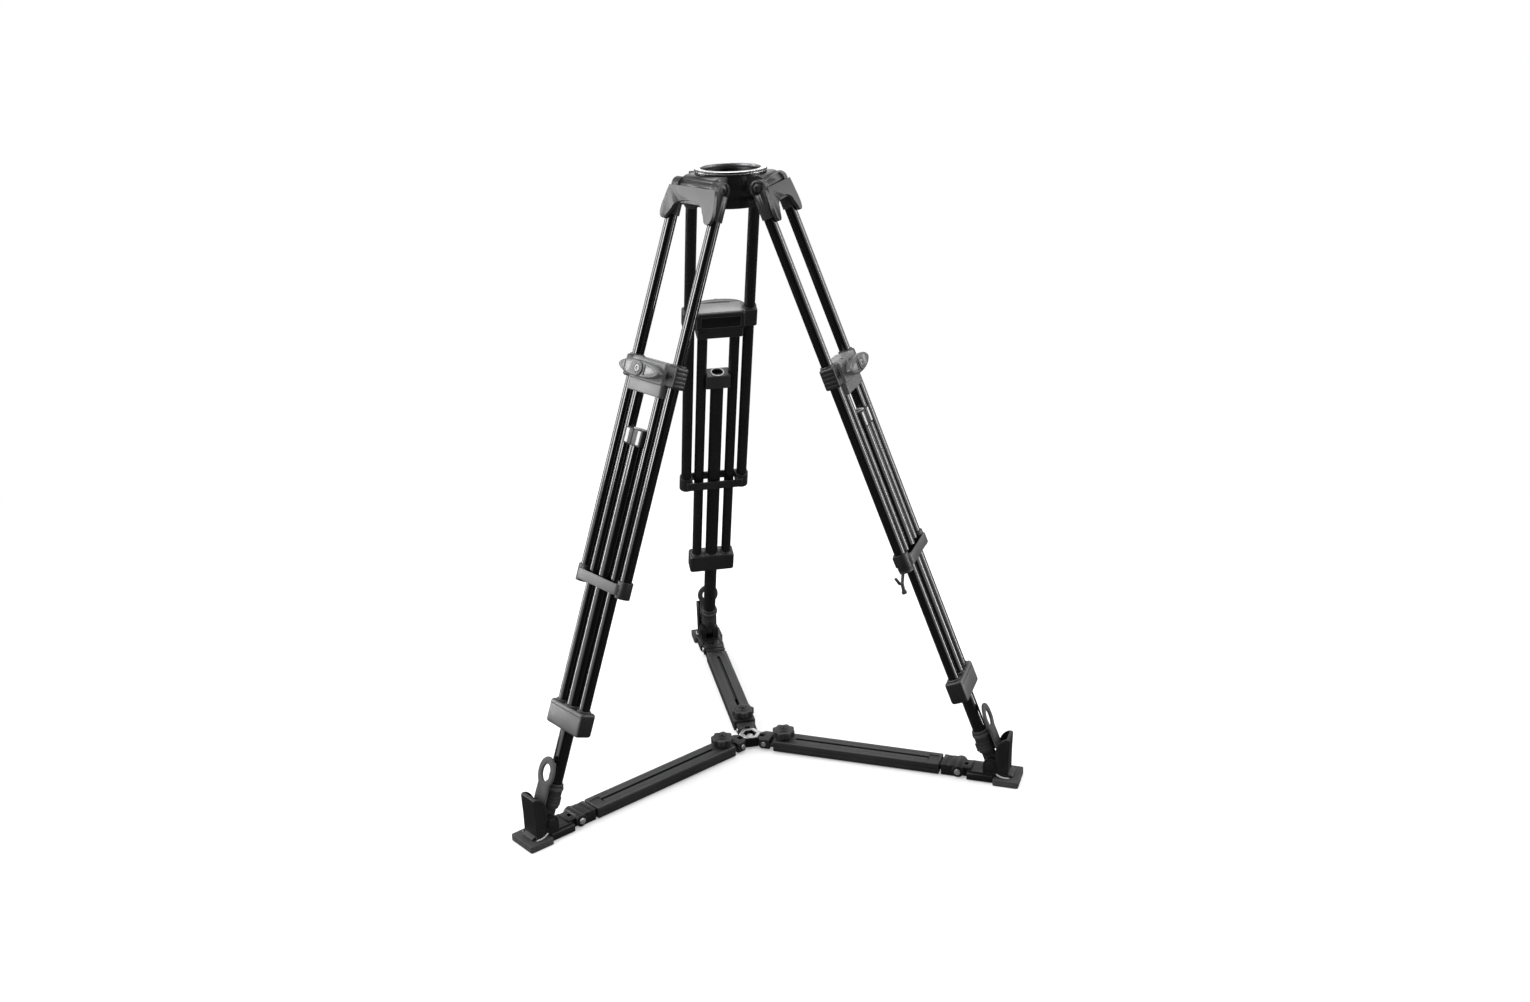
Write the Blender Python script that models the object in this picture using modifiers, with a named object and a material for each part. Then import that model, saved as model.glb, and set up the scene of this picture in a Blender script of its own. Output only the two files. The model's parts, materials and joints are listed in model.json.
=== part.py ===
"""Two-stage aluminium video tripod with a 100 mm bowl and a ground spreader.

Frame: metres, +Z up, origin on the floor on the tripod's axis, at the flat
underside of the spreader hub.  The rear leg points along +Y, the left leg at
210 degrees and the right leg at -30 degrees.

Each piece of a leg is modelled once and placed three times.  It is drawn in
one of these frames, where y always runs along the hinge:
  leg    origin on the hinge axis, x outward from the leg, z up the leg
  stage  the leg frame moved down the leg to the clamp
  arm    origin on the floor on the tripod's axis, x outward, z up
"""
import math
from contextlib import contextmanager

import bmesh
import bpy
from mathutils import Matrix, Vector

# ------------------------------------------------------------- dimensions
# name, direction in degrees, clamp's distance down the leg from the hinge
LEGS = (("left", 210.0, 0.3083), ("right", -30.0, 0.3293), ("rear", 90.0, 0.2817))
TILT = math.radians(21.15)        # leg angle from vertical, standing
HINGE_X, HINGE_Z = 0.0660, 1.0465

# distances down the leg from the hinge; the block's is from the clamp
TIE_DROP = 0.6680
GUIDE_DROP = 0.4200
ANKLE_DROP = 1.0880
BLOCK_DROP = 0.5980

# tubes: distance of the pair's axes from the leg's, outer radius, bore radius
OUTER_Y, OUTER_RAD, OUTER_BORE = 0.0550, 0.0100, 0.0085
INNER_Y, INNER_RAD, INNER_BORE = 0.0300, 0.0095, 0.0080
CENTRE_RAD, CENTRE_BORE = 0.0125, 0.0105
GAP = 0.0003                      # running gap
OUTER_FIT = OUTER_RAD + GAP       # radii of the holes that take the tubes
INNER_FIT = INNER_RAD + GAP
CENTRE_FIT = CENTRE_RAD + GAP

RIM_Z = 1.0725                    # top of the bowl rim
RIM_RAD = 0.0604
BOWL_RAD = 0.0500                 # 100 mm bowl
BARREL_RAD, BARREL_HALF = 0.0126, 0.0408      # hinge barrels of the crown
PIN_RAD = 0.0060                  # hinge shaft

# spreader and foot, in the arm frame
ARM_X = (0.0520, 0.3660)          # inner and outer end of the channel
ARM_Z = (0.0020, 0.0230)
ARM_HALF = 0.0210
KNUCKLE_X = 0.4000                # arm knuckle at the foot
TONGUE_HALF = 0.0143              # flat bars that run inside the channel
PAD_X, PAD_HALF, PAD_HEIGHT = (0.4645, 0.5105), 0.0310, 0.0123
KNOB_X = 0.0670
HUB_FLAT = 0.0200                 # hub axis to a flat of the hexagon

ANKLE_X = HINGE_X + ANKLE_DROP * math.sin(TILT)
ANKLE_Z = HINGE_Z - ANKLE_DROP * math.cos(TILT)

FINISHES = {
    "cast": dict(colour=(0.075, 0.075, 0.078), roughness=0.50, metallic=0.6),
    "tube": dict(colour=(0.010, 0.010, 0.011), roughness=0.22, metallic=0.9),
    "plastic": dict(colour=(0.030, 0.030, 0.031), roughness=0.55, metallic=0.0),
    "rim": dict(colour=(0.62, 0.62, 0.63), roughness=0.28, metallic=1.0),
    "steel": dict(colour=(0.10, 0.10, 0.10), roughness=0.35, metallic=1.0),
    "rubber": dict(colour=(0.022, 0.022, 0.023), roughness=0.75, metallic=0.0),
    "arm": dict(colour=(0.055, 0.055, 0.057), roughness=0.50, metallic=0.5),
}

# ------------------------------------------------------------- scene set-up
for old in list(bpy.data.objects):
    bpy.data.objects.remove(old, do_unlink=True)

parts = bpy.data.collections.new("video_tripod")
work = bpy.data.collections.new("construction")
bpy.context.scene.collection.children.link(parts)
bpy.context.scene.collection.children.link(work)


# ------------------------------------------------------------- mesh helpers
def add_work_object(name, data):
    obj = bpy.data.objects.new(name, data)
    work.objects.link(obj)
    return obj


def object_from(bm, name):
    mesh = bpy.data.meshes.new(name)
    bmesh.ops.recalc_face_normals(bm, faces=bm.faces)
    bm.to_mesh(mesh)
    bm.free()
    return add_work_object(name, mesh)


@contextmanager
def editing(mesh):
    """Open a mesh as a bmesh and write it back at the end of the block."""
    bm = bmesh.new()
    bm.from_mesh(mesh)
    yield bm
    bm.to_mesh(mesh)
    bm.free()


def bake(obj):
    """Replace an object by its evaluated mesh, with its transform applied."""
    bpy.context.view_layer.update()
    deps = bpy.context.evaluated_depsgraph_get()
    mesh = bpy.data.meshes.new_from_object(obj.evaluated_get(deps))
    mesh.transform(obj.matrix_world)
    with editing(mesh) as bm:
        bmesh.ops.remove_doubles(bm, verts=bm.verts, dist=0.000002)
    name = obj.name
    bpy.data.objects.remove(obj, do_unlink=True)
    return add_work_object(name, mesh)


def bevel_sharp(obj, width):
    mod = obj.modifiers.new("edge", "BEVEL")
    mod.width = width
    mod.segments = 1
    mod.limit_method = "ANGLE"
    mod.angle_limit = math.radians(60)
    return bake(obj)


def boolean(obj, others, operation):
    for other in others:
        other.hide_render = True
        mod = obj.modifiers.new(operation.lower(), "BOOLEAN")
        mod.operation = operation
        mod.solver = "EXACT"
        mod.object = other
    obj = bake(obj)
    for other in others:
        bpy.data.objects.remove(other, do_unlink=True)
    return obj


def join(obj, *others):
    return boolean(obj, others, "UNION")


def cut(obj, *others):
    """Subtract the others; cutters overshoot wherever a hole is open."""
    return boolean(obj, others, "DIFFERENCE")


# ------------------------------------------------------------- shape helpers
def across(half):
    """Range centred on zero."""
    return (-half, half)


def mirrored(side, near, far):
    """Range from near to far on the side given by +1 or -1, in rising order."""
    return sorted((side * near, side * far))


def box(x, y, z, bevel=0.0):
    """Box over three (low, high) ranges, with one chamfer on every edge if asked."""
    low, high = Vector((x[0], y[0], z[0])), Vector((x[1], y[1], z[1]))
    size = Vector((x[1] - x[0], y[1] - y[0], z[1] - z[0]))
    bm = bmesh.new()
    bmesh.ops.create_cube(bm, size=1.0)
    bmesh.ops.scale(bm, vec=size, verts=bm.verts)
    bmesh.ops.translate(bm, vec=(low + high) / 2, verts=bm.verts)
    if bevel:
        bmesh.ops.bevel(bm, geom=list(bm.edges), offset=bevel, segments=1,
                        profile=0.5, affect="EDGES", clamp_overlap=True)
    return object_from(bm, "box")


def cylinder(axis, ends, radius, centre=(0.0, 0.0), segments=12, end_radius=None,
             turn=0.0, bevel=0.0):
    """Cylinder or cone along an axis; centre is the other two coordinates."""
    start, end = ends
    bm = bmesh.new()
    bmesh.ops.create_cone(bm, cap_ends=True, cap_tris=False, segments=segments,
                          radius1=radius,
                          radius2=radius if end_radius is None else end_radius,
                          depth=end - start)
    if bevel:
        rims = [e for e in bm.edges if abs(e.verts[0].co.z - e.verts[1].co.z) < 1e-9]
        bmesh.ops.bevel(bm, geom=rims, offset=bevel, segments=1, profile=0.5,
                        affect="EDGES", clamp_overlap=True)
    bmesh.ops.rotate(bm, verts=bm.verts, matrix=Matrix.Rotation(turn, 3, "Z"))
    middle = (start + end) / 2
    if axis == "x":
        bmesh.ops.rotate(bm, verts=bm.verts, matrix=Matrix.Rotation(math.pi / 2, 3, "Y"))
        move = (middle, centre[0], centre[1])
    elif axis == "y":
        bmesh.ops.rotate(bm, verts=bm.verts, matrix=Matrix.Rotation(-math.pi / 2, 3, "X"))
        move = (centre[0], middle, centre[1])
    else:
        move = (centre[0], centre[1], middle)
    bmesh.ops.translate(bm, vec=move, verts=bm.verts)
    return object_from(bm, "cylinder")


def upright_pair(z, radius, offset):
    """Two cylinders along z, at y = +offset and y = -offset."""
    return [cylinder("z", z, radius, (0.0, side * offset)) for side in (1, -1)]


def turned(profile, steps):
    """A closed (radius, height) profile turned once about Z with a Screw modifier."""
    bm = bmesh.new()
    verts = [bm.verts.new((radius, 0.0, z)) for radius, z in profile]
    for i, vert in enumerate(verts):
        bm.edges.new((vert, verts[(i + 1) % len(verts)]))
    obj = object_from(bm, "turned")
    mod = obj.modifiers.new("turn", "SCREW")
    mod.steps = steps
    mod.render_steps = steps
    mod.use_merge_vertices = True
    mod.merge_threshold = 0.00001
    mod.use_smooth_shade = True
    obj = bake(obj)
    with editing(obj.data) as bm:
        bmesh.ops.recalc_face_normals(bm, faces=bm.faces)
    return obj


def tube(y, radius, bore, top, bottom):
    """Hollow round tube along z."""
    obj = turned([(radius, top), (radius, bottom), (bore, bottom), (bore, top)], 12)
    obj.data.transform(Matrix.Translation((0, y, 0)))
    return obj


def outline(loops, ends, plane, bevel=0.0):
    """Plate from closed loops in a plane (inner loops are holes), between two ends."""
    start, end = ends
    curve = bpy.data.curves.new("outline", "CURVE")
    curve.dimensions = "2D"
    curve.fill_mode = "BOTH"
    curve.extrude = (end - start) / 2
    for loop in loops:
        spline = curve.splines.new("POLY")
        spline.points.add(len(loop) - 1)
        for point, (across_page, up_page) in zip(spline.points, loop):
            point.co = (across_page, up_page, 0.0, 1.0)
        spline.use_cyclic_u = True
    obj = add_work_object("outline", curve)
    middle = (start + end) / 2
    obj.matrix_world = {
        "yz": Matrix(((0, 0, 1, middle), (1, 0, 0, 0), (0, 1, 0, 0), (0, 0, 0, 1))),
        "xz": Matrix(((1, 0, 0, 0), (0, 0, -1, middle), (0, 1, 0, 0), (0, 0, 0, 1))),
        "xy": Matrix.Translation((0, 0, middle)),
    }[plane]
    obj = bake(obj)
    with editing(obj.data) as bm:
        bmesh.ops.remove_doubles(bm, verts=bm.verts, dist=0.00001)
        bmesh.ops.dissolve_limit(bm, angle_limit=0.001, verts=bm.verts, edges=bm.edges)
        bmesh.ops.recalc_face_normals(bm, faces=bm.faces)
    return bevel_sharp(obj, bevel) if bevel else obj


def arc(centre_z, half_width, half_height, start, end, steps):
    """Points (y, z) on an ellipse about y = 0, from start to end in degrees."""
    angles = [math.radians(start + (end - start) * i / steps) for i in range(steps + 1)]
    return [(half_width * math.cos(a), centre_z + half_height * math.sin(a)) for a in angles]


# ------------------------------------------------------------- leg frame
# +y half of the shoulder skirt's edge, from the arch up to the knuckle: (y, z)
SKIRT_EDGE = [(0.0465, -0.0515), (0.0550, -0.0600), (0.0630, -0.0580),
              (0.0668, -0.0460), (0.0640, -0.0280), (0.0585, -0.0035)]
OUTER_TOP = -0.0172               # upper ends of the outer tubes


def make_shoulder():
    """Bracket that carries the outer tubes: skirt, sockets and two hinge knuckles."""
    arch = arc(-0.0400, 0.0385, 0.0145, 0.0, 180.0, 6)
    edge = [(-y, z) for y, z in reversed(SKIRT_EDGE)] + arch[::-1] + SKIRT_EDGE
    skirt = outline([edge], (0.0116, 0.0176), "yz")
    pieces = [box(x=(-0.0118, 0.0140), y=across(0.0590), z=(-0.0300, -0.0110))]
    barrel_space = cylinder("y", across(0.0413), BARREL_RAD + 0.0008, segments=14)
    shaft_hole = cylinder("y", across(0.0900), PIN_RAD + GAP, segments=10)
    cutters = [barrel_space, shaft_hole]
    for side in (-1, 1):
        at_tube = (0.0, side * OUTER_Y)
        socket = cylinder("z", (-0.0500, -0.0040), 0.0124, at_tube)
        knuckle = cylinder("y", mirrored(side, 0.0415, 0.0585), 0.0140, segments=14)
        head_recess = cylinder("y", mirrored(side, 0.0552, 0.0800), 0.0092)
        tube_hole = cylinder("z", (-0.0800, -0.0168), OUTER_FIT, at_tube)
        pieces += [socket, knuckle]
        cutters += [head_recess, tube_hole]
    return cut(join(skirt, *pieces), *cutters)


def make_hinge_shaft():
    """Shaft with a round head and a hexagonal recess at each end."""
    shaft = cylinder("y", across(0.0570), PIN_RAD, segments=10)
    heads = [cylinder("y", mirrored(side, 0.0556, 0.0574), 0.0088) for side in (1, -1)]
    recesses = [cylinder("y", mirrored(side, 0.0560, 0.0700), 0.0034, segments=6)
                for side in (1, -1)]
    return cut(join(shaft, *heads), *recesses)


def make_tie():
    """Bottom tie of the outer tubes: two cups and an open loop between them."""
    z = -TIE_DROP
    bar = box(x=across(0.0178), y=across(0.0560), z=(z - 0.0090, z + 0.0090))
    cups = upright_pair((z - 0.0140, z + 0.0145), 0.0132, OUTER_Y)
    opening = box(x=across(0.0151), y=across(0.0435), z=(z - 0.0500, z + 0.0500))
    return cut(join(bar, *cups), opening,
               *upright_pair((z - 0.0083, z + 0.0500), OUTER_FIT, OUTER_Y))


def make_guide():
    """Cross-piece on top of the centre tube, sliding on the inner tubes."""
    z = -GUIDE_DROP
    body = box(x=across(0.0146), y=across(0.0232), z=(z - 0.0150, z + 0.0140), bevel=0.0020)
    centre_socket = cylinder("z", (z - 0.0500, z - 0.0075), CENTRE_FIT)
    top_recess = cylinder("z", (z + 0.0070, z + 0.0500), 0.0105)
    return cut(body, *upright_pair((z - 0.0500, z + 0.0500), INNER_FIT, INNER_Y),
               centre_socket, top_recess)


def make_boot():
    """Cup under the centre tube with a flat eye for the ankle pin."""
    z = -ANKLE_DROP
    cup = cylinder("z", (z + 0.0240, z + 0.0660), 0.0155)
    web = box(x=across(0.0105), y=across(0.0068), z=(z, z + 0.0300))
    eye = cylinder("y", across(0.0069), 0.0106, (0.0, z))
    tube_socket = cylinder("z", (z + 0.0315, z + 0.0900), CENTRE_FIT)
    pin_hole = cylinder("y", across(0.0300), 0.0047, (0.0, z), segments=8)
    return cut(join(cup, web, eye), tube_socket, pin_hole)


def make_strap():
    """Rubber strap on the outward side, with an oval pull ring."""
    ring_z = -1.0040
    half_width = 0.0155
    tail_top, tail_bottom = ring_z - 0.0360, ring_z - 0.0810
    edge = arc(ring_z, 0.0215, 0.0275, -52.0, 232.0, 10)
    edge += [(-half_width, tail_top), (-half_width, tail_bottom),
             (half_width, tail_bottom), (half_width, tail_top)]
    hole = arc(ring_z, 0.0112, 0.0150, 0.0, 360.0, 12)[:-1]
    return outline([edge, hole[::-1]], (0.0202, 0.0248), "yz")


# ------------------------------------------------------------- stage frame
INNER_TOP = -0.0066               # upper ends of the inner tubes


def make_clamp_housing():
    """Top casting of the middle stage; it slides on the outer tubes."""
    middle = box(x=(-0.0195, 0.0190), y=across(0.0440), z=across(0.0190), bevel=0.0040)
    wings = box(x=across(0.0132), y=across(0.0682), z=across(0.0185), bevel=0.0036)
    skirt = box(x=(-0.0150, 0.0158), y=across(0.0425), z=(-0.0385, -0.0100))
    boss = cylinder("x", (0.0180, 0.0215), 0.0150)
    return cut(join(middle, wings, skirt, boss),
               *upright_pair(across(0.0600), OUTER_FIT, OUTER_Y),
               *upright_pair((-0.0600, -0.0062), INNER_FIT, INNER_Y))


def make_clamp_lever():
    """Two-wing lever on the outward face, turning about the leg's x axis."""
    half_length, half_width = 0.0535, 0.0142
    length_power, width_power = 0.86, 1.12    # shape the oval into pointed wings
    points = 18
    loop = []
    for i in range(points):
        angle = 2 * math.pi * i / points
        y, z = math.cos(angle), math.sin(angle)
        loop.append((half_length * math.copysign(abs(y) ** length_power, y),
                     half_width * math.copysign(abs(z) ** width_power, z)))
    wings = outline([loop], (0.0262, 0.0376), "yz", bevel=0.0024)
    hub = cylinder("x", (0.0219, 0.0400), 0.0125)
    hex_recess = cylinder("x", (0.0386, 0.0600), 0.0050, segments=6)
    return cut(join(wings, hub), hex_recess)


def make_bottom_block():
    """Block under the inner tubes that the centre tube slides through."""
    z = -BLOCK_DROP
    body = box(x=across(0.0162), y=across(0.0455), z=(z - 0.0215, z + 0.0205), bevel=0.0045)
    return cut(body, cylinder("z", (z - 0.0600, z + 0.0600), CENTRE_FIT),
               *upright_pair((z - 0.0125, z + 0.0600), INNER_FIT, INNER_Y))


# ------------------------------------------------------------- arm frame
# side views: (x, z)
HOOK_EDGE = [(0.4745, 0.0150), (0.4905, 0.0150), (0.4905, 0.0500), (0.4915, 0.0850),
             (0.4900, 0.0882), (0.4860, 0.0885), (0.4780, 0.0850), (0.4705, 0.0755),
             (0.4670, 0.0640), (0.4665, 0.0520), (0.4690, 0.0380), (0.4730, 0.0250)]
HOOK_HOLLOW = [(0.4500, 0.0300), (0.4868, 0.0300), (0.4872, 0.0600),
               (0.4882, 0.0950), (0.4500, 0.0950)]


def make_pad():
    body = box(x=PAD_X, y=across(PAD_HALF), z=(0.0, PAD_HEIGHT))
    return bevel_sharp(body, 0.0022)


def make_foot_casting():
    """Receiver with ankle cheeks, strap hook, arm knuckle and the fixed end bar."""
    hook = cut(outline([HOOK_EDGE], across(0.0195), "xz"),
               outline([HOOK_HOLLOW], across(0.0163), "xz"))
    ankle = (ANKLE_X, ANKLE_Z)
    cheek_rad = 0.0138
    round_inset = 0.0001          # keeps the rounds off the faces of the cheeks
    floor_plate = box(x=(0.4200, 0.4925), y=across(0.0200), z=(0.0126, 0.0178))
    receiver = box(x=(0.4170, 0.4640), y=across(0.0250), z=(0.0018, 0.0150))
    ankle_pin = cylinder("y", across(0.0200), 0.0040, ankle, segments=8)
    neck = box(x=(0.3970, 0.4240), y=across(0.0150), z=(0.0025, 0.0205))
    knuckle = cylinder("y", across(0.0212), 0.0110, (KNUCKLE_X, 0.0130))
    end_block = box(x=(0.3692, 0.3960), y=across(0.0188), z=(0.0017, 0.0233))
    tongue = box(x=(0.1500, 0.3740), y=across(TONGUE_HALF), z=(0.0129, 0.0185))
    pieces = [floor_plate, receiver, ankle_pin, neck, knuckle, end_block, tongue]
    for side in (-1, 1):
        low, high = mirrored(side, 0.0080, 0.0176)
        pieces.append(box(x=(ANKLE_X - cheek_rad, ANKLE_X + cheek_rad), y=(low, high),
                          z=(0.0140, ANKLE_Z)))
        pieces.append(cylinder("y", (low + round_inset, high - round_inset), 0.0137,
                               ankle, segments=14))
    return join(hook, *pieces)


def make_channel():
    """Hollow bar with a slot along its top."""
    body = box(x=ARM_X, y=across(ARM_HALF), z=ARM_Z, bevel=0.0018)
    hollow = box(x=(0.0, 0.5), y=across(0.0150), z=(0.0058, 0.0192))
    slot = box(x=(0.1050, 0.3350), y=across(0.0024), z=(0.0150, 0.0350))
    return cut(body, hollow, slot)


def make_hub_bar():
    """End block beside the hub with a flat tongue running into the channel."""
    return join(box(x=(0.0205, 0.0440), y=across(0.0172), z=(0.0028, 0.0222)),
                box(x=(0.0400, 0.3000), y=across(TONGUE_HALF), z=(0.0065, 0.0121)))


def make_knob():
    """Lobed knob, drawn about its own axis."""
    mean_radius, lobe_height, lobes, points = 0.0197, 0.0015, 8, 32
    loop = []
    for i in range(points):
        angle = 2 * math.pi * i / points
        radius = mean_radius + lobe_height * math.cos(lobes * angle)
        loop.append((radius * math.cos(angle), radius * math.sin(angle)))
    grip = outline([loop], (0.0273, 0.0400), "xy")
    collar = cylinder("z", (0.0233, 0.0305), 0.0105)
    cap = cylinder("z", (0.0365, 0.0417), 0.0120, end_radius=0.0105)
    return join(grip, collar, cap)


# ------------------------------------------------------------- crown and hub
# heights in these tables are depths below the top of the rim
# bowl ring section: (radius, depth)
RING_PROFILE = [(0.0590, 0.0), (RIM_RAD, 0.0014), (RIM_RAD, 0.0072), (0.0525, 0.0072),
                (0.0525, 0.0250), (0.0445, 0.0250), (0.0470, 0.0170), (0.0490, 0.0080),
                (BOWL_RAD, 0.0025), (0.0512, 0.0)]
# round sections: (bottom depth, top depth, bottom radius, top radius)
CROWN_BODY = [(0.0322, 0.0075, 0.0578, 0.0578), (0.0422, 0.0318, 0.0505, 0.0574),
              (0.0620, 0.0418, 0.0455, 0.0509)]
CROWN_BORE = [(0.0280, -0.0130, 0.0530, 0.0530), (0.0340, 0.0278, 0.0300, 0.0532),
              (0.0780, 0.0335, 0.0300, 0.0300)]
# side view of the wedge above each hinge: (x, depth)
WEDGE_EDGE = [(0.0400, 0.0077), (0.0588, 0.0077), (0.0700, 0.0118), (0.0722, 0.0180),
              (0.0700, 0.0340), (0.0640, 0.0380), (0.0400, 0.0395)]


def below_rim(points):
    """Turn (distance, depth below the rim) into (distance, height)."""
    return [(distance, RIM_Z - depth) for distance, depth in points]


def make_bowl_ring():
    return turned(below_rim(RING_PROFILE), 30)


def crown_rounds(sections):
    return [cylinder("z", (RIM_Z - bottom, RIM_Z - top), bottom_rad, segments=28,
                     end_radius=top_rad)
            for bottom, top, bottom_rad, top_rad in sections]


def make_crown():
    """Round body with a wedge and a hinge barrel for each leg, bored through."""
    hinge = (HINGE_X, HINGE_Z)
    solids = crown_rounds(CROWN_BODY)
    cutters = crown_rounds(CROWN_BORE)
    for _, azimuth, _ in LEGS:
        wedge = outline([below_rim(WEDGE_EDGE)], across(0.0402), "xz")
        barrel = cylinder("y", across(BARREL_HALF), BARREL_RAD, hinge, segments=14)
        shaft_hole = cylinder("y", across(0.0600), PIN_RAD + 0.0007, hinge)
        for piece in (wedge, barrel, shaft_hole):
            piece.data.transform(Matrix.Rotation(math.radians(azimuth), 4, "Z"))
        solids += [wedge, barrel]
        cutters.append(shaft_hole)
    return cut(join(*solids), *cutters)


def make_hub():
    """Hexagonal hub on a round foot, with a hexagonal recess in its top."""
    turn = math.radians(30.0)
    hexagon = cylinder("z", (0.0030, 0.0213), HUB_FLAT / math.cos(math.pi / 6), segments=6,
                       turn=turn, bevel=0.0010)
    foot = cylinder("z", (0.0, 0.0060), 0.0150, segments=14)
    recess = cylinder("z", (0.0175, 0.0400), 0.0110, segments=6, turn=turn)
    return cut(join(hexagon, foot), recess)


# ------------------------------------------------------------- placing
def material(name, colour, roughness, metallic):
    mat = bpy.data.materials.new(name)
    mat.use_nodes = True
    bsdf = mat.node_tree.nodes["Principled BSDF"]
    bsdf.inputs["Base Color"].default_value = (*colour, 1.0)
    bsdf.inputs["Roughness"].default_value = roughness
    bsdf.inputs["Metallic"].default_value = metallic
    return mat


def place(name, source, finish, matrix):
    """Add an object that shares the source's mesh but has its own material."""
    mesh = source.data
    mesh.shade_smooth()
    mesh.set_sharp_from_angle(angle=math.radians(32))
    obj = bpy.data.objects.new(name, mesh)
    parts.objects.link(obj)
    obj.matrix_world = matrix
    if not mesh.materials:
        mesh.materials.append(None)
    obj.material_slots[0].link = "OBJECT"
    obj.material_slots[0].material = material(name, **FINISHES[finish])


def centred(obj, origin):
    """Move the mesh so that its origin is at the given point."""
    obj.data.transform(Matrix.Translation(-Vector(origin)))
    return obj


BOOT_ORIGIN = (0.0, 0.0, -ANKLE_DROP)       # ankle pin in the leg frame
FOOT_ORIGIN = (ANKLE_X, 0.0, ANKLE_Z)       # ankle pin in the arm frame

outer_tubes = [tube(side * OUTER_Y, OUTER_RAD, OUTER_BORE, OUTER_TOP, -TIE_DROP - 0.0080)
               for side in (-1, 1)]
inner_tubes = [tube(side * INNER_Y, INNER_RAD, INNER_BORE, INNER_TOP, -BLOCK_DROP - 0.0120)
               for side in (-1, 1)]
centre_tube = tube(0.0, CENTRE_RAD, CENTRE_BORE, -GUIDE_DROP - 0.0080, -ANKLE_DROP + 0.0320)

# name after the leg's, piece, finish, frame
LEG_PIECES = (
    ("shoulder", make_shoulder(), "cast", "leg"),
    ("hinge_shaft", make_hinge_shaft(), "steel", "leg"),
    ("outer_tube_1", outer_tubes[0], "tube", "leg"),
    ("outer_tube_2", outer_tubes[1], "tube", "leg"),
    ("outer_tie", make_tie(), "cast", "leg"),
    ("clamp_housing", make_clamp_housing(), "cast", "stage"),
    ("clamp_lever", make_clamp_lever(), "plastic", "stage"),
    ("inner_tube_1", inner_tubes[0], "tube", "stage"),
    ("inner_tube_2", inner_tubes[1], "tube", "stage"),
    ("bottom_block", make_bottom_block(), "cast", "stage"),
    ("centre_tube", centre_tube, "tube", "leg"),
    ("top_guide", make_guide(), "plastic", "leg"),
    ("boot", centred(make_boot(), BOOT_ORIGIN), "plastic", "boot"),
    ("strap", make_strap(), "rubber", "leg"),
    ("pad", centred(make_pad(), FOOT_ORIGIN), "rubber", "foot"),
    ("foot_casting", centred(make_foot_casting(), FOOT_ORIGIN), "arm", "foot"),
    ("channel", make_channel(), "arm", "arm"),
    ("hub_bar", make_hub_bar(), "arm", "arm"),
    ("lock_knob", make_knob(), "plastic", "knob"),
)

for leg_name, azimuth, clamp_drop in LEGS:
    arm = Matrix.Rotation(math.radians(azimuth), 4, "Z")
    hinge = arm @ Matrix.Translation((HINGE_X, 0.0, HINGE_Z))
    leg = hinge @ Matrix.Rotation(-TILT, 4, "Y")
    frames = {
        "arm": arm,
        "leg": leg,
        "stage": leg @ Matrix.Translation((0.0, 0.0, -clamp_drop)),
        "boot": leg @ Matrix.Translation(BOOT_ORIGIN),
        "foot": arm @ Matrix.Translation(FOOT_ORIGIN),
        "knob": arm @ Matrix.Translation((KNOB_X, 0.0, 0.0)),
    }
    for suffix, piece, finish, frame in LEG_PIECES:
        place(f"{leg_name}_{suffix}", piece, finish, frames[frame])

place("crown", make_crown(), "cast", Matrix.Identity(4))
place("bowl_ring", make_bowl_ring(), "rim", Matrix.Identity(4))
place("hub", make_hub(), "steel", Matrix.Identity(4))

for leftover in list(work.objects):
    bpy.data.objects.remove(leftover, do_unlink=True)
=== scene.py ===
# A tripod: a crown with a bowl ring on top, three legs that each slide in two stages, and three
# arms low over the floor that run from a central hub out to the feet.
# Metres, +Z up. The tripod's axis is Z and the floor is z = 0. The rear leg points to +Y, the
# left and right legs to -Y and either side.
#
# Frames that the pieces are drawn in:
#   leg frame    origin at the hinge, Y along the hinge pin, -Z down the leg, X outward
#   clamp frame  the leg frame moved down to that leg's clamp
#   arm frame    origin under the crown at floor height, X outward along the arm, Z up
import json
import math

import bmesh
import bpy
from mathutils import Matrix, Vector

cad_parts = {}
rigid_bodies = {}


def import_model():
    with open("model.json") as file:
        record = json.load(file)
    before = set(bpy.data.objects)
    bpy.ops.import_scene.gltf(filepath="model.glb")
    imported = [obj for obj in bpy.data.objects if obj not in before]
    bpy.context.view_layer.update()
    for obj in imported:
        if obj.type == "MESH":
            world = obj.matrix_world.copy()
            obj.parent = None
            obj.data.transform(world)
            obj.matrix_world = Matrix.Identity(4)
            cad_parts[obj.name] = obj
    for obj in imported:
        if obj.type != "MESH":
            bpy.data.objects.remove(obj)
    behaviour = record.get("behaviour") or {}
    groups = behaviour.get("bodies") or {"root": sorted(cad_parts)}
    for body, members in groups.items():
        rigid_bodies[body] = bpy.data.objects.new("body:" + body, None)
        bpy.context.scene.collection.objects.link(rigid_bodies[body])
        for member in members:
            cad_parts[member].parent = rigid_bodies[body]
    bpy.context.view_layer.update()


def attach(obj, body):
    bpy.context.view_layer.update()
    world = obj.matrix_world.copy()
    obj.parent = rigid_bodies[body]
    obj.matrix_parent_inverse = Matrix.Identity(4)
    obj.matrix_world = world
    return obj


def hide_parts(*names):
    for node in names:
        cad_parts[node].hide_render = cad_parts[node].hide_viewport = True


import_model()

# ------------------------------------------------------------------ driving dimensions
LEGS = (("left", 210.0), ("right", -30.0), ("rear", 90.0))     # azimuth from +X, degrees
TILT = math.radians(21.15)                                     # legs, away from vertical
RIM_Z = 1.0725                                                 # top of the bowl ring
HINGE_X, HINGE_Z = 0.0660, 1.0465                              # hinge axis, in the arm frame

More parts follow.
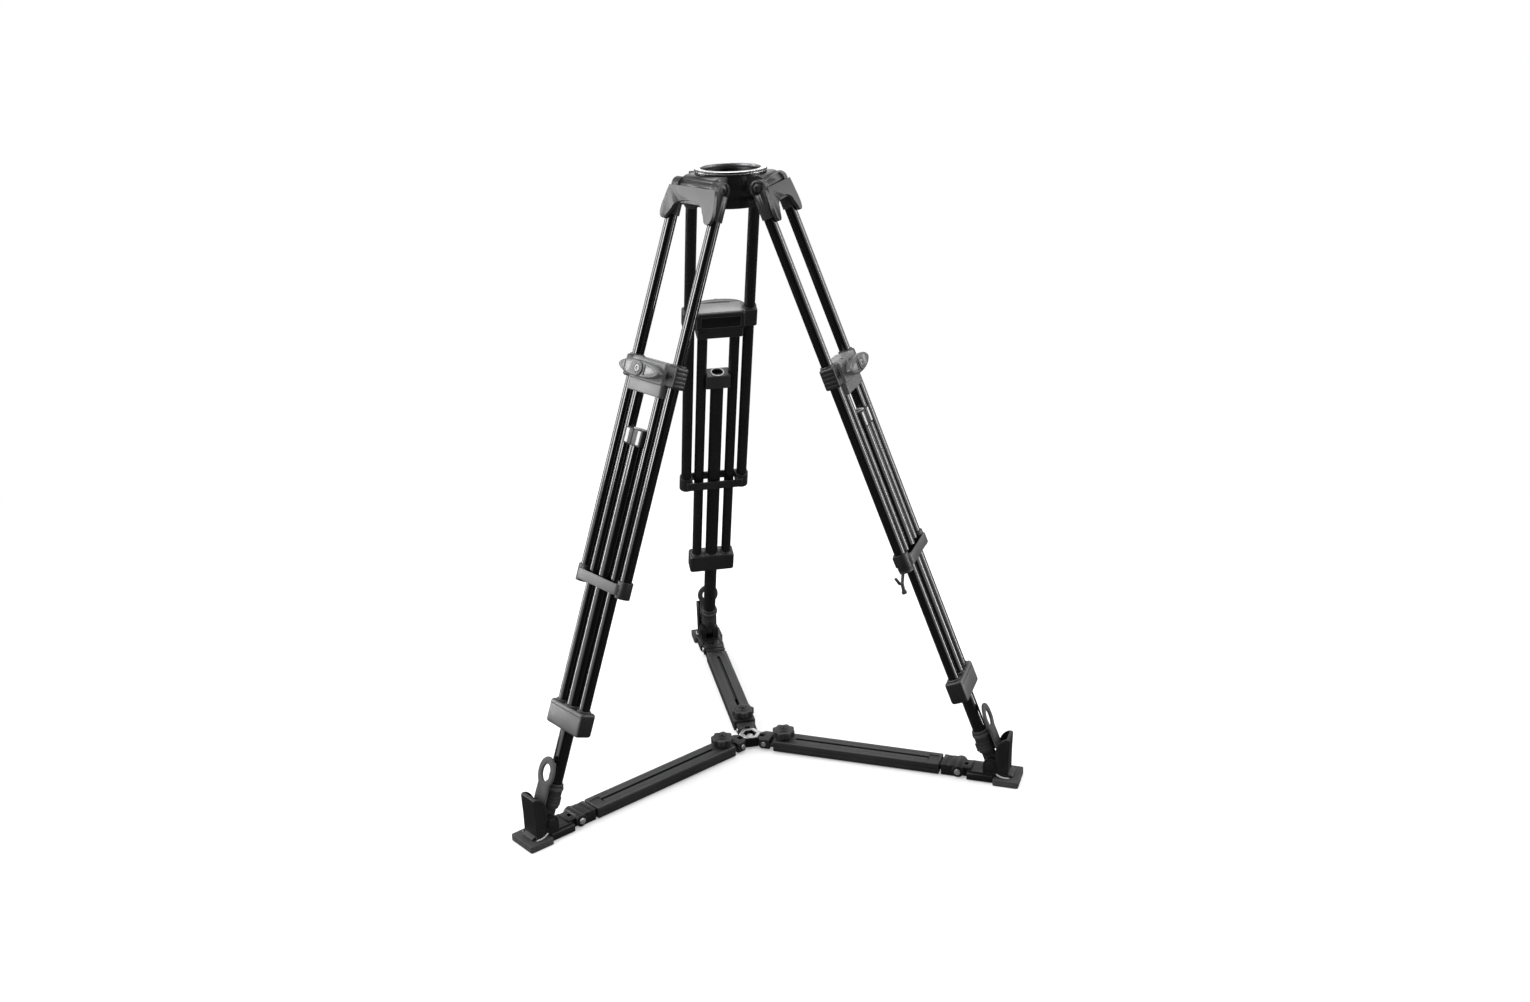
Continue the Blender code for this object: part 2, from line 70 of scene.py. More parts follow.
# distances down the leg from the hinge
CLAMP_DROP = {"left": 0.3083, "right": 0.3293, "rear": 0.2817}
TIE_DROP, GUIDE_DROP, ANKLE_DROP = 0.6680, 0.4200, 1.0880
BLOCK_DROP = 0.5980                                            # from the clamp, not the hinge

# tubes: offset either side of the leg's centre line, outer radius, bore radius
OUTER_Y, OUTER_R, OUTER_BORE = 0.0550, 0.0100, 0.0085
INNER_Y, INNER_R, INNER_BORE = 0.0300, 0.0095, 0.0080
CENTRE_R, CENTRE_BORE = 0.0125, 0.0105
CLEARANCE = 0.0003                                             # between a tube and its hole

ANKLE_X = HINGE_X + ANKLE_DROP * math.sin(TILT)                # arm frame
ANKLE_Z = HINGE_Z - ANKLE_DROP * math.cos(TILT)
KNUCKLE_X, KNUCKLE_Z = 0.4000, 0.0130
HUB_PIN_X, HUB_PIN_Z = 0.0325, 0.0125
KNOB_X = 0.0670
ANKLE_HEAD_H, KNUCKLE_PIN_H, HUB_PIN_H = 0.0020, 0.0030, 0.0022

HEX_TURN = math.radians(30.0)
SIDES = (-1, 1)

work = bpy.data.collections.new("work")
show = bpy.data.collections.new("visual")
bpy.context.scene.collection.children.link(work)
bpy.context.scene.collection.children.link(show)


# ------------------------------------------------------------------ frames
def shift(x=0.0, y=0.0, z=0.0):
    return Matrix.Translation((x, y, z))


def spin(azimuth):
    return Matrix.Rotation(math.radians(azimuth), 4, "Z")


def leg_frame(azimuth):
    return spin(azimuth) @ shift(x=HINGE_X, z=HINGE_Z) @ Matrix.Rotation(-TILT, 4, "Y")


# ------------------------------------------------------------------ mesh helpers
def limits(extent):
    """(low, high); a single number means that distance either side of zero."""
    return extent if isinstance(extent, tuple) else (-extent, extent)


def span(side, near, far):
    """The stretch between two distances on one side of zero, lowest first."""
    return tuple(sorted((side * near, side * far)))


def add_work(data):
    obj = bpy.data.objects.new("w", data)
    work.objects.link(obj)
    return obj


def make(bm):
    mesh = bpy.data.meshes.new("m")
    bmesh.ops.recalc_face_normals(bm, faces=bm.faces)
    bm.to_mesh(mesh)
    bm.free()
    return add_work(mesh)


def tidy(mesh, merge=None, flatten=False, recalc=True):
    """Merge close vertices, dissolve flat edges and turn the normals outward."""
    bm = bmesh.new()
    bm.from_mesh(mesh)
    if merge:
        bmesh.ops.remove_doubles(bm, verts=bm.verts, dist=merge)
    if flatten:
        bmesh.ops.dissolve_limit(bm, angle_limit=0.001, verts=bm.verts, edges=bm.edges)
    if recalc:
        bmesh.ops.recalc_face_normals(bm, faces=bm.faces)
    bm.to_mesh(mesh)
    bm.free()


def bake(obj):
    """Replace an object by a plain mesh with its modifiers and transform applied."""
    bpy.context.view_layer.update()
    depsgraph = bpy.context.evaluated_depsgraph_get()
    mesh = bpy.data.meshes.new_from_object(obj.evaluated_get(depsgraph))
    mesh.transform(obj.matrix_world)
    tidy(mesh, merge=0.000002, recalc=False)
    bpy.data.objects.remove(obj, do_unlink=True)
    return add_work(mesh)


def shifted(obj, offset):
    obj.location = offset
    return bake(obj)


def box(x, y, z, bevel=0.0, seg=3):
    spans = [limits(extent) for extent in (x, y, z)]
    bm = bmesh.new()
    bmesh.ops.create_cube(bm, size=1.0)
    bmesh.ops.scale(bm, vec=[high - low for low, high in spans], verts=bm.verts)
    bmesh.ops.translate(bm, vec=[(low + high) / 2 for low, high in spans], verts=bm.verts)
    if bevel:
        bmesh.ops.bevel(bm, geom=list(bm.edges), offset=bevel, segments=seg, profile=0.5,
                        affect="EDGES", clamp_overlap=True)
    return make(bm)


def cyl(axis, extent, radius, centre=(0.0, 0.0), seg=36, end_radius=None, turn=0.0, bevel=0.0):
    """Cylinder or cone along an axis; centre is given on the other two axes, in order."""
    low, high = limits(extent)
    bm = bmesh.new()
    bmesh.ops.create_cone(bm, cap_ends=True, cap_tris=False, segments=seg, radius1=radius,
                          radius2=radius if end_radius is None else end_radius,
                          depth=high - low)
    if bevel:
        rims = [e for e in bm.edges if abs(e.verts[0].co.z - e.verts[1].co.z) < 1e-9]
        bmesh.ops.bevel(bm, geom=rims, offset=bevel, segments=2, profile=0.5,
                        affect="EDGES", clamp_overlap=True)
    bmesh.ops.rotate(bm, verts=bm.verts, matrix=Matrix.Rotation(turn, 3, "Z"))
    place = list(centre)
    place.insert("xyz".index(axis), (low + high) / 2)
    if axis == "x":
        bmesh.ops.rotate(bm, verts=bm.verts, matrix=Matrix.Rotation(math.pi / 2, 3, "Y"))
    elif axis == "y":
        bmesh.ops.rotate(bm, verts=bm.verts, matrix=Matrix.Rotation(-math.pi / 2, 3, "X"))
    bmesh.ops.translate(bm, vec=place, verts=bm.verts)
    return make(bm)


def bore(extent, tube_radius, y=0.0, seg=40):
    """Cutter for a tube's hole along Z."""
    return cyl("z", extent, tube_radius + CLEARANCE, (0.0, y), seg)


def turned(profile, steps=64):
    """Turn a closed (radius, z) profile about Z."""
    bm = bmesh.new()
    verts = [bm.verts.new((r, 0.0, z)) for r, z in profile]
    for i, vert in enumerate(verts):
        bm.edges.new((vert, verts[(i + 1) % len(verts)]))
    obj = make(bm)
    mod = obj.modifiers.new("turn", "SCREW")
    mod.steps = steps
    mod.render_steps = steps
    mod.use_merge_vertices = True
    mod.merge_threshold = 0.00001
    obj = bake(obj)
    tidy(obj.data)
    return obj


def ring(outer, inner, top, bottom, chamfer, drop, steps=40):
    """Collar about Z; its top outer edge slopes in by chamfer over a height of drop."""
    return turned([(outer - chamfer, top), (outer, top - drop), (outer, bottom),
                   (inner, bottom), (inner, top)], steps)


def soften(obj, width, seg=2, angle=38):
    mod = obj.modifiers.new("edge", "BEVEL")
    mod.width = width
    mod.segments = seg
    mod.limit_method = "ANGLE"
    mod.angle_limit = math.radians(angle)
    mod.use_clamp_overlap = True
    return bake(obj)


def outline(plane, depth, *loops, bevel=0.0, seg=2):
    """Plate with the loops as its outline and holes, drawn in a plane, thick along the third axis."""
    low, high = limits(depth)
    curve = bpy.data.curves.new("outline", "CURVE")
    curve.dimensions = "2D"
    curve.fill_mode = "BOTH"
    curve.extrude = (high - low) / 2
    for loop in loops:
        spline = curve.splines.new("POLY")
        spline.points.add(len(loop) - 1)
        for point, (u, v) in zip(spline.points, loop):
            point.co = (u, v, 0.0, 1.0)
        spline.use_cyclic_u = True
    obj = add_work(curve)
    mid = (low + high) / 2
    if plane == "yz":
        obj.matrix_world = Matrix(((0, 0, 1, mid), (1, 0, 0, 0), (0, 1, 0, 0), (0, 0, 0, 1)))
    elif plane == "xz":
        obj.matrix_world = Matrix(((1, 0, 0, 0), (0, 0, -1, mid), (0, 1, 0, 0), (0, 0, 0, 1)))
    else:
        obj.matrix_world = shift(z=mid)
    obj = bake(obj)
    tidy(obj.data, merge=0.00001, flatten=True)
    return soften(obj, bevel, seg, angle=50) if bevel else obj


def sweep(points, radius, resolution=4):
    """Round wire along a path."""
    curve = bpy.data.curves.new("wire", "CURVE")
    curve.dimensions = "3D"
    spline = curve.splines.new("POLY")
    spline.points.add(len(points) - 1)
    for point, place in zip(spline.points, points):
        point.co = (*place, 1.0)
    curve.bevel_depth = radius
    curve.bevel_resolution = resolution
    curve.use_fill_caps = True
    obj = bake(add_work(curve))
    tidy(obj.data, merge=0.00001)
    return obj


def boolean(obj, others, operation):
    for other in others:
        mod = obj.modifiers.new("b", "BOOLEAN")
        mod.operation = operation
        mod.solver = "EXACT"
        mod.object = other
    obj = bake(obj)
    for other in others:
        bpy.data.objects.remove(other, do_unlink=True)
    return obj


def join(obj, *others):
    return boolean(obj, others, "UNION")


def cut(obj, *others):
    return boolean(obj, others, "DIFFERENCE")


def ellipse(centre, radii, count, arc=None):
    """Points round an ellipse, or along an arc of it in degrees with both ends kept."""
    start, end = arc or (0.0, 360.0)
    steps = count - 1 if arc else count
    angles = [math.radians(start + (end - start) * i / steps) for i in range(count)]
    return [(centre[0] + radii[0] * math.cos(a), centre[1] + radii[1] * math.sin(a))
            for a in angles]


def rounded(x, y, radius, count=6):
    """Rectangle with round corners of count points each."""
    (x0, x1), (y0, y1) = limits(x), limits(y)
    points = []
    for cx, cy, start in ((x1 - radius, y1 - radius, 0), (x0 + radius, y1 - radius, 90),
                          (x0 + radius, y0 + radius, 180), (x1 - radius, y0 + radius, 270)):
        for i in range(count):
            angle = math.radians(start + 90 * i / (count - 1))
            points.append((cx + radius * math.cos(angle), cy + radius * math.sin(angle)))
    return points


def tube(y, radius, bore_radius, top, bottom):
    chamfer = 0.0006
    obj = turned([(radius - chamfer, top), (radius, top - chamfer), (radius, bottom + chamfer),
                  (radius - chamfer, bottom), (bore_radius, bottom), (bore_radius, top)], 48)
    return shifted(obj, (0, y, 0))


def socket_screw(axis, seat, radius, height):
    """Cap screw with a hex socket, standing out from its seat along the positive axis."""
    top = seat + height
    return cut(cyl(axis, (seat, top), radius, seg=24, bevel=radius * 0.12),
               cyl(axis, (top - height * 0.7, top + 0.002), radius * 0.48, seg=6))


# ------------------------------------------------------------------ shader helpers
def feed(tree, target, inputs):
    """Link each node output to a node's input, or set the input to a plain value."""
    for key, value in inputs.items():
        if isinstance(value, bpy.types.NodeSocket):
            tree.links.new(value, target.inputs[key])
        else:
            target.inputs[key].default_value = value


def node(tree, kind, inputs=None, **settings):
    new = tree.nodes.new("ShaderNode" + kind)
    for key, value in settings.items():
        setattr(new, key, value)
    feed(tree, new, inputs or {})
    return new


def maths(tree, operation, *values):
    return node(tree, "Math", dict(enumerate(values)), operation=operation).outputs["Value"]


def vector_maths(tree, operation, *values):
    return node(tree, "VectorMath", dict(enumerate(values)),
                operation=operation).outputs["Value"]


def noise(tree, coord, scale, detail=3.0, roughness=0.55):
    return node(tree, "TexNoise", {"Scale": scale, "Detail": detail, "Roughness": roughness,
                                   "Vector": coord}).outputs["Fac"]


def remap(tree, value, source, target=(0.0, 1.0)):
    return node(tree, "MapRange", {"From Min": source[0], "From Max": source[1],
                                   "To Min": target[0], "To Max": target[1],
                                   "Value": value}).outputs["Result"]


def mix(tree, factor, first, second):
    return node(tree, "Mix", {0: factor, 6: first, 7: second}, data_type="RGBA").outputs[2]


def bumped(tree, height, strength, distance):
    return node(tree, "Bump", {"Strength": strength, "Distance": distance,
                               "Height": height}).outputs["Normal"]


def new_material(name):
    material = bpy.data.materials.new(name)
    material.use_nodes = True
    tree = material.node_tree
    return material, tree, tree.nodes["Principled BSDF"]


# ------------------------------------------------------------------ materials
PATCH_SPAN = (0.3, 0.7)         # part of the coarse noise that runs from dark to light patches
EDGE_RADIUS = 0.0009            # width of the worn edges
EDGE_SPAN = (0.995, 0.90)       # agreement of rounded and true normal, from flat to edge


def grey(level):
    """A grey with slightly more blue."""
    return (level, level, level * 1.015, 1.0)


def edge_mask(tree):
    """1 along edges, 0 on flats."""
    bevel = node(tree, "Bevel", {"Radius": EDGE_RADIUS}, samples=4)
    geometry = node(tree, "NewGeometry")
    agreement = vector_maths(tree, "DOT_PRODUCT", bevel.outputs["Normal"],
                             geometry.outputs["Normal"])
    return remap(tree, agreement, source=EDGE_SPAN)


def paint(name, level, rough, metal, grain, bump, wear=None, spread=0.22, coat=0.0,
          blotch=18.0, spec=0.5, zones=()):
    """Mottled grey finish. spread: contrast of the patches, blotch: their noise scale,
    wear: grey level of the edges. zones: (axis, mirrored about 0, from, to, grey level) fades
    to a level over a stretch of an axis."""
    material, tree, shader = new_material(name)
    coord = node(tree, "TexCoord").outputs["Object"]
    coarse = noise(tree, coord, scale=blotch)
    fine = noise(tree, coord, scale=grain, detail=5.0, roughness=0.6)
    colour = mix(tree, remap(tree, coarse, source=PATCH_SPAN), grey(level * (1 - spread)),
                 grey(level * (1 + spread)))
    colour = mix(tree, remap(tree, fine, source=(0.35, 0.65), target=(0.0, 0.35)), colour,
                 grey(level))
    if wear:
        spots = noise(tree, coord, scale=260.0)
        mask = maths(tree, "MULTIPLY", edge_mask(tree),
                     remap(tree, spots, source=(0.42, 0.62), target=(0.10, 0.75)))
        colour = mix(tree, mask, colour, grey(wear))
    # on the shoulder and the arm the zones are painted shade and painted light
    if zones:
        separate = node(tree, "SeparateXYZ", {0: coord})
        for axis, mirrored, start, end, zone_level in zones:
            place = separate.outputs[axis]
            if mirrored:
                place = maths(tree, "ABSOLUTE", place)
            tint = mix(tree, remap(tree, coarse, source=PATCH_SPAN), grey(zone_level * 0.8),
                       grey(zone_level * 1.2))
            colour = mix(tree, remap(tree, place, source=(start, end)), colour, tint)
    feed(tree, shader, {
        "Base Color": colour,
        "Roughness": remap(tree, fine, source=(0.3, 0.7), target=(rough - 0.06, rough + 0.09)),
        "Metallic": metal,
        "Specular IOR Level": spec,
        "Coat Weight": coat,
        "Coat Roughness": 0.08,
        "Normal": bumped(tree, fine, strength=bump, distance=0.0002)})
    return material


# key: (material name, grey level, roughness, metallic, grain noise scale, bump strength, options)
PAINTS = {
    # the shoulder's zone is painted shade: its grey darkens towards the top, under the crown
    "shoulder_grey": ("shoulder_satin_paint", 0.021, 0.33, 0.08, 1500.0, 0.30,
                      dict(wear=0.055, zones=(("Z", False, -0.0300, -0.0080, 0.008),))),
    "crown_black": ("crown_satin_black", 0.007, 0.24, 0.10, 1500.0, 0.25, dict(wear=0.07)),
    "clamp_grey": ("clamp_grey_paint", 0.150, 0.38, 0.10, 1500.0, 0.30, dict(wear=0.26)),
    "housing": ("housing_paint", 0.120, 0.38, 0.10, 1500.0, 0.30,
                dict(wear=0.24, zones=(("Y", True, 0.0445, 0.0455, 0.012),
                                       ("X", False, -0.0120, -0.0150, 0.008)))),
    "tie_grey": ("tie_paint", 0.060, 0.38, 0.15, 1600.0, 0.35,
                 dict(wear=0.18, zones=(("X", False, 0.0150, 0.0120, 0.009),))),
    "block_grey": ("block_paint", 0.070, 0.38, 0.15, 1600.0, 0.35,
                   dict(wear=0.18, zones=(("X", False, 0.0150, 0.0130, 0.009),))),
    "foot_black": ("foot_satin_black", 0.006, 0.38, 0.05, 1600.0, 0.40,
                   dict(wear=0.05, spec=0.35)),
    "dark_steel": ("dark_plated_steel", 0.050, 0.34, 1.0, 2400.0, 0.2, {}),
    "screw_grey": ("plated_screw", 0.22, 0.34, 0.6, 2400.0, 0.15, dict(spread=0.12)),
    "bright_steel": ("bright_pin_steel", 0.74, 0.26, 0.9, 2400.0, 0.15, dict(spread=0.12)),
    "lever_plastic": ("lever_moulding", 0.060, 0.36, 0.05, 2600.0, 0.40, dict(wear=0.012)),
    # painted highlight: the light grey of the lever's insert and plate stands in for highlights on
    # the lever
    "lever_highlight": ("lever_insert_painted_highlight", 0.17, 0.34, 0.1, 2200.0, 0.25, dict(spread=0.12)),
    "guide_plastic": ("guide_moulding", 0.012, 0.46, 0.0, 2600.0, 0.4, dict(wear=0.07)),
    "bush": ("pale_bush", 0.45, 0.48, 0.0, 2600.0, 0.3, dict(spread=0.10)),
    # painted highlight: light grey for the strips along the scoop's edges
    "edge_highlight": ("painted_edge_highlight", 0.30, 0.42, 0.0, 2600.0, 0.3, {}),
    "black_plastic": ("black_moulding", 0.014, 0.42, 0.0, 2600.0, 0.5, dict(wear=0.08)),
    "panel": ("gloss_panel", 0.002, 0.12, 0.0, 900.0, 0.05, dict(coat=0.3)),
    "rubber": ("pad_rubber", 0.026, 0.62, 0.0, 1900.0, 0.7, dict(wear=0.11, spec=0.35)),
    "rubber_strap": ("strap_rubber", 0.034, 0.60, 0.0, 1900.0, 0.6,
                     dict(wear=0.10, spec=0.35)),
    # the arm's zone is painted light: everything below the top face is darker, so the top face reads
    # lit from above
    "arm_black": ("arm_matte_black", 0.023, 0.46, 0.15, 1500.0, 0.40,
                  dict(wear=0.12, blotch=14.0, zones=(("Z", False, 0.0226, 0.0220, 0.014),))),
    "gloss_tube": ("gloss_black_tube", 0.0022, 0.12, 0.0, 900.0, 0.01,
                   dict(coat=0.6, blotch=9.0)),
    # painted light: the rear leg gets its own copy of the tube black, greyer and with a softer gloss,
    # for the softer light on that leg
    "rear_tube_painted_light": ("rear_tube_painted_light_copy", 0.0045, 0.26, 0.0, 900.0, 0.02,
                  dict(coat=0.15, blotch=9.0, spec=0.32)),
}


def rim_material():
    """Turned bright face on the rim's top; blackened outer wall; the seat's grey is painted shade,
    darkening down into the bowl.
    """
    material, tree, shader = new_material("machined_rim")
    coord = node(tree, "TexCoord").outputs["Object"]
    separate = node(tree, "SeparateXYZ", {0: coord})
    flat = node(tree, "CombineXYZ", {axis: separate.outputs[axis] for axis in "XY"})
    radius = vector_maths(tree, "LENGTH", flat.outputs[0])
    wave = node(tree, "TexWave", {"Scale": 900.0, "Distortion": 0.4, "Vector": coord},
                wave_type="RINGS", rings_direction="Z").outputs["Fac"]
    soft = noise(tree, coord, scale=40.0)
    bright = mix(tree, remap(tree, soft, source=PATCH_SPAN),
                 (0.70, 0.70, 0.71, 1.0), (0.88, 0.88, 0.89, 1.0))
    # painted shade: the seat goes from grey at its top edge to near black deeper in the bowl
    seat = mix(tree, remap(tree, separate.outputs["Z"], source=(RIM_Z - 0.0100, RIM_Z - 0.0020)),
               (0.008, 0.008, 0.009, 1.0), (0.12, 0.12, 0.125, 1.0))
    colour = mix(tree, remap(tree, radius, source=(0.0506, 0.0512)), seat, bright)
    colour = mix(tree, remap(tree, radius, source=(0.0598, 0.0601)), colour,
                 (0.045, 0.045, 0.046, 1.0))
    tangent = node(tree, "Tangent", direction_type="RADIAL", axis="Z")
    feed(tree, shader, {
        "Base Color": colour,
        "Roughness": remap(tree, wave, source=(0.0, 1.0), target=(0.24, 0.34)),
        "Metallic": 0.9,
        "Anisotropic": 0.85,
        "Tangent": tangent.outputs[0],
        "Normal": bumped(tree, wave, strength=0.12, distance=0.0001)})
    return material


MATERIALS = {key: paint(*columns, **options) for key, (*columns, options) in PAINTS.items()}
MATERIALS["rim"] = rim_material()


# ------------------------------------------------------------------ leg pieces (leg frame)
def shoulder():
    """Sockets for the outer tubes, joined by an arched skirt, with hinge cheeks on top."""
    arch = ellipse((0.0, -0.0400), (0.0385, 0.0145), 27, arc=(0.0, 180.0))
    # (y, z) up the +Y flank of the skirt
    flank = [(0.0440, -0.0470), (0.0465, -0.0515), (0.0500, -0.0570), (0.0550, -0.0595),
             (0.0600, -0.0590), (0.0638, -0.0560), (0.0662, -0.0500), (0.0668, -0.0440),
             (0.0660, -0.0360), (0.0640, -0.0280), (0.0615, -0.0150), (0.0592, -0.0060),
             (0.0585, -0.0035)]
    edge = [(-y, z) for y, z in reversed(flank)] + arch[::-1] + flank
    skirt = outline("yz", (0.0116, 0.0176), edge)
    parts = [box((-0.0118, 0.0140), 0.0590, (-0.0300, -0.0110))]
    # gap for the crown's barrel, and the hinge shaft's hole
    cutters = [cyl("y", 0.0413, 0.0134, seg=44), cyl("y", 0.0900, 0.0063, seg=28)]
    for side in SIDES:
        parts.append(cyl("z", (-0.0500, -0.0040), 0.0124, (0.0, side * OUTER_Y), 40))
        parts.append(cyl("y", span(side, 0.0415, 0.0585), 0.0140, seg=44))
        cutters.append(cyl("y", span(side, 0.0552, 0.0800), 0.0092, seg=32))
        cutters.append(bore((-0.0800, -0.0168), OUTER_R, side * OUTER_Y))
    return soften(cut(join(skirt, *parts), *cutters), 0.0010, 3)


def hinge_shaft():
    """Pin with a flat head and a hex socket at each end."""
    heads = [cyl("y", span(side, 0.0556, 0.0574), 0.0088, seg=32, bevel=0.0004)
             for side in (1, -1)]
    sockets = [cyl("y", span(side, 0.0558, 0.0700), 0.0040, seg=6) for side in (1, -1)]
    return cut(join(cyl("y", 0.0570, 0.0060, seg=28), *heads), *sockets)


def tie():
    """Bridge between the lower ends of the outer tubes."""
    z = -TIE_DROP
    web = outline("xy", (z - 0.0090, z + 0.0090), rounded(0.0178, 0.0560, 0.0060))
    sockets = [cyl("z", (z - 0.0140, z + 0.0145), 0.0132, (0.0, y), 40)
               for y in (OUTER_Y, -OUTER_Y)]
    window = box(0.0151, 0.0435, (z - 0.0500, z + 0.0500))
    bores = [bore((z - 0.0083, z + 0.0500), OUTER_R, side * OUTER_Y) for side in SIDES]
    return soften(cut(join(web, *sockets), window, *bores), 0.0012, 3)


def clamp_housing():
    """Clamp frame."""
    body = join(box((-0.0195, 0.0190), 0.0440, 0.0190, 0.0042, 4),
                box(0.0132, 0.0682, 0.0185, 0.0038, 4),
                box((-0.0150, 0.0158), 0.0425, (-0.0385, -0.0100), 0.0026, 3),
                cyl("x", (0.0180, 0.0215), 0.0150, seg=40))
    cutters = []
    for side in SIDES:
        cutters.append(bore(0.0600, OUTER_R, side * OUTER_Y))
        cutters.append(bore((-0.0600, -0.0062), INNER_R, side * INNER_Y))
        # grooves across the cheeks that wrap the outer tubes
        for k in range(4):
            z = -0.0105 + 0.0070 * k
            cutters.append(box(0.0200, span(side, 0.0676, 0.0700), (z - 0.0009, z + 0.0009)))
    # parting line above the lower lip, and a recess for the inward panel
    cutters.append(box((0.0184, 0.0300), 0.0500, (-0.0124, -0.0116)))
    cutters.append(box((-0.0300, -0.0185), 0.0385, 0.0130))
    return soften(cut(body, *cutters), 0.0005, 2)


def clamp_lever():
    """Two-winged lever on a round boss, in the clamp frame."""
    half_length, half_width = 0.0535, 0.0142
    loop = []
    for i in range(64):
        angle = 2 * math.pi * i / 64
        c, s = math.cos(angle), math.sin(angle)
        loop.append((half_length * math.copysign(abs(c) ** 0.86, c),
                     half_width * math.copysign(abs(s) ** 1.12, s)))
    body = join(outline("yz", (0.0262, 0.0376), loop, bevel=0.0030, seg=4),
                cyl("x", (0.0219, 0.0400), 0.0125, seg=40, bevel=0.0012))
    well = cyl("x", (0.0388, 0.0600), 0.0076, seg=32)
    # dish in the +Y wing, and a seam across the -Y wing; (y, z)
    dish = outline("yz", (0.0366, 0.0500),
                   [(0.0165, -0.0085), (0.0300, -0.0070), (0.0420, -0.0040), (0.0450, 0.0),
                    (0.0420, 0.0040), (0.0300, 0.0070), (0.0165, 0.0085)])
    seam = box((0.0362, 0.0500), (-0.0362, -0.0348), 0.0200)
    return soften(cut(body, well, dish, seam), 0.0004, 2)


def bottom_block():
    """Block at the lower ends of the inner tubes, round the centre tube; clamp frame."""
    z = -BLOCK_DROP
    body = box(0.0162, 0.0455, (z - 0.0215, z + 0.0205), 0.0055, 4)
    bores = [bore((z - 0.0125, z + 0.0600), INNER_R, y) for y in (INNER_Y, -INNER_Y)]
    return soften(cut(body, bore((z - 0.0600, z + 0.0600), CENTRE_R, seg=44), *bores,
                      box((0.0156, 0.0300), 0.0500, (z + 0.0120, z + 0.0127))), 0.0005, 2)


def guide():
    """Slider between the inner tubes, on the top of the centre tube."""
    z = -GUIDE_DROP
    body = box(0.0146, 0.0232, (z - 0.0150, z + 0.0140), 0.0024, 3)
    bores = [bore((z - 0.0500, z + 0.0500), INNER_R, y) for y in (INNER_Y, -INNER_Y)]
    return soften(cut(body, *bores,
                      bore((z - 0.0500, z - 0.0075), CENTRE_R),
                      cyl("z", (z + 0.0050, z + 0.0500), 0.0110),
                      box((0.0136, 0.0300), 0.0022, (z - 0.0300, z + 0.0300))), 0.0005, 2)


def boot():
    """Sleeve on the lower end of the centre tube, with a tongue down to the ankle pin."""
    z = -ANKLE_DROP
    body = join(cyl("z", (z + 0.0240, z + 0.0660), 0.0155, seg=44, bevel=0.0012),
                box(0.0105, 0.0068, (z, z + 0.0300)),
                cyl("y", 0.0069, 0.0106, (0.0, z)))
    grooves = [turned([(0.0165, z + h + 0.0010), (0.0165, z + h - 0.0010),
                       (0.0148, z + h - 0.0010), (0.0148, z + h + 0.0010)], 44)
               for h in (0.0330, 0.0390, 0.0450)]
    return soften(cut(body, bore((z + 0.0315, z + 0.0900), CENTRE_R, seg=44),
                      cyl("y", 0.0300, 0.0047, (0.0, z), 24), *grooves), 0.0004, 2)


def strap():
    """Flat strap outward of the boot: an eye with a straight tail below."""
    eye_z = -1.0040
    eye = ellipse((0.0, eye_z), (0.0215, 0.0275), 45, arc=(-46.0, 226.0))
    tail = [(-0.0152, eye_z - 0.0280), (-0.0155, eye_z - 0.0360), (-0.0155, eye_z - 0.0790),
            (-0.0135, eye_z - 0.0810), (0.0135, eye_z - 0.0810), (0.0155, eye_z - 0.0790),
            (0.0155, eye_z - 0.0360), (0.0152, eye_z - 0.0280)]
    hole = ellipse((0.0, eye_z), (0.0112, 0.0150), 40)[::-1]
    return soften(outline("yz", (0.0202, 0.0248), eye + tail, hole), 0.0014, 3)


# ------------------------------------------------------------------ foot and arm (arm frame)
def pad():
    """Floor pad with two grooves round its sides and outer end."""
    body = outline("xy", (0.0, 0.0123), rounded((0.4645, 0.5105), 0.0310, 0.0034))
    body = soften(body, 0.0016, 3)
    grooves = []
    for z in (0.0040, 0.0072):
        height = (z, z + 0.0010)
        grooves += [box((0.46, 0.52), span(side, 0.0304, 0.0330), height) for side in SIDES]
        grooves.append(box((0.5099, 0.52), 0.05, height))
    return soften(cut(body, *grooves), 0.0003, 1)


def foot_scoop():
    """Upright scoop at the outer end of the foot, open on its inward side; tables are (x, z)."""
    hook = outline("xz", 0.0195,
                   [(0.4745, 0.0150), (0.4905, 0.0150), (0.4905, 0.0500), (0.4912, 0.0700),
                    (0.4916, 0.0840), (0.4912, 0.0868), (0.4895, 0.0883), (0.4860, 0.0885),
                    (0.4815, 0.0872), (0.4780, 0.0850), (0.4738, 0.0808), (0.4705, 0.0755),
                    (0.4682, 0.0700), (0.4670, 0.0640), (0.4664, 0.0580), (0.4665, 0.0520),
                    (0.4674, 0.0445), (0.4690, 0.0380), (0.4710, 0.0310), (0.4730, 0.0250)])
    inside = outline("xz", 0.0163, [(0.4500, 0.0300), (0.4868, 0.0300), (0.4872, 0.0600),
                                    (0.4882, 0.0950), (0.4500, 0.0950)])
    scoop = soften(cut(hook, inside), 0.0011, 3)
    # shallow dish in each side wall
    dish = [(0.4765, 0.0300), (0.4868, 0.0300), (0.4872, 0.0700), (0.4872, 0.0830),
            (0.4815, 0.0835), (0.4765, 0.0790), (0.4722, 0.0700), (0.4708, 0.0580),
            (0.4725, 0.0430)]
    return cut(scoop, *[outline("xz", span(side, 0.0189, 0.0220), dish) for side in SIDES])


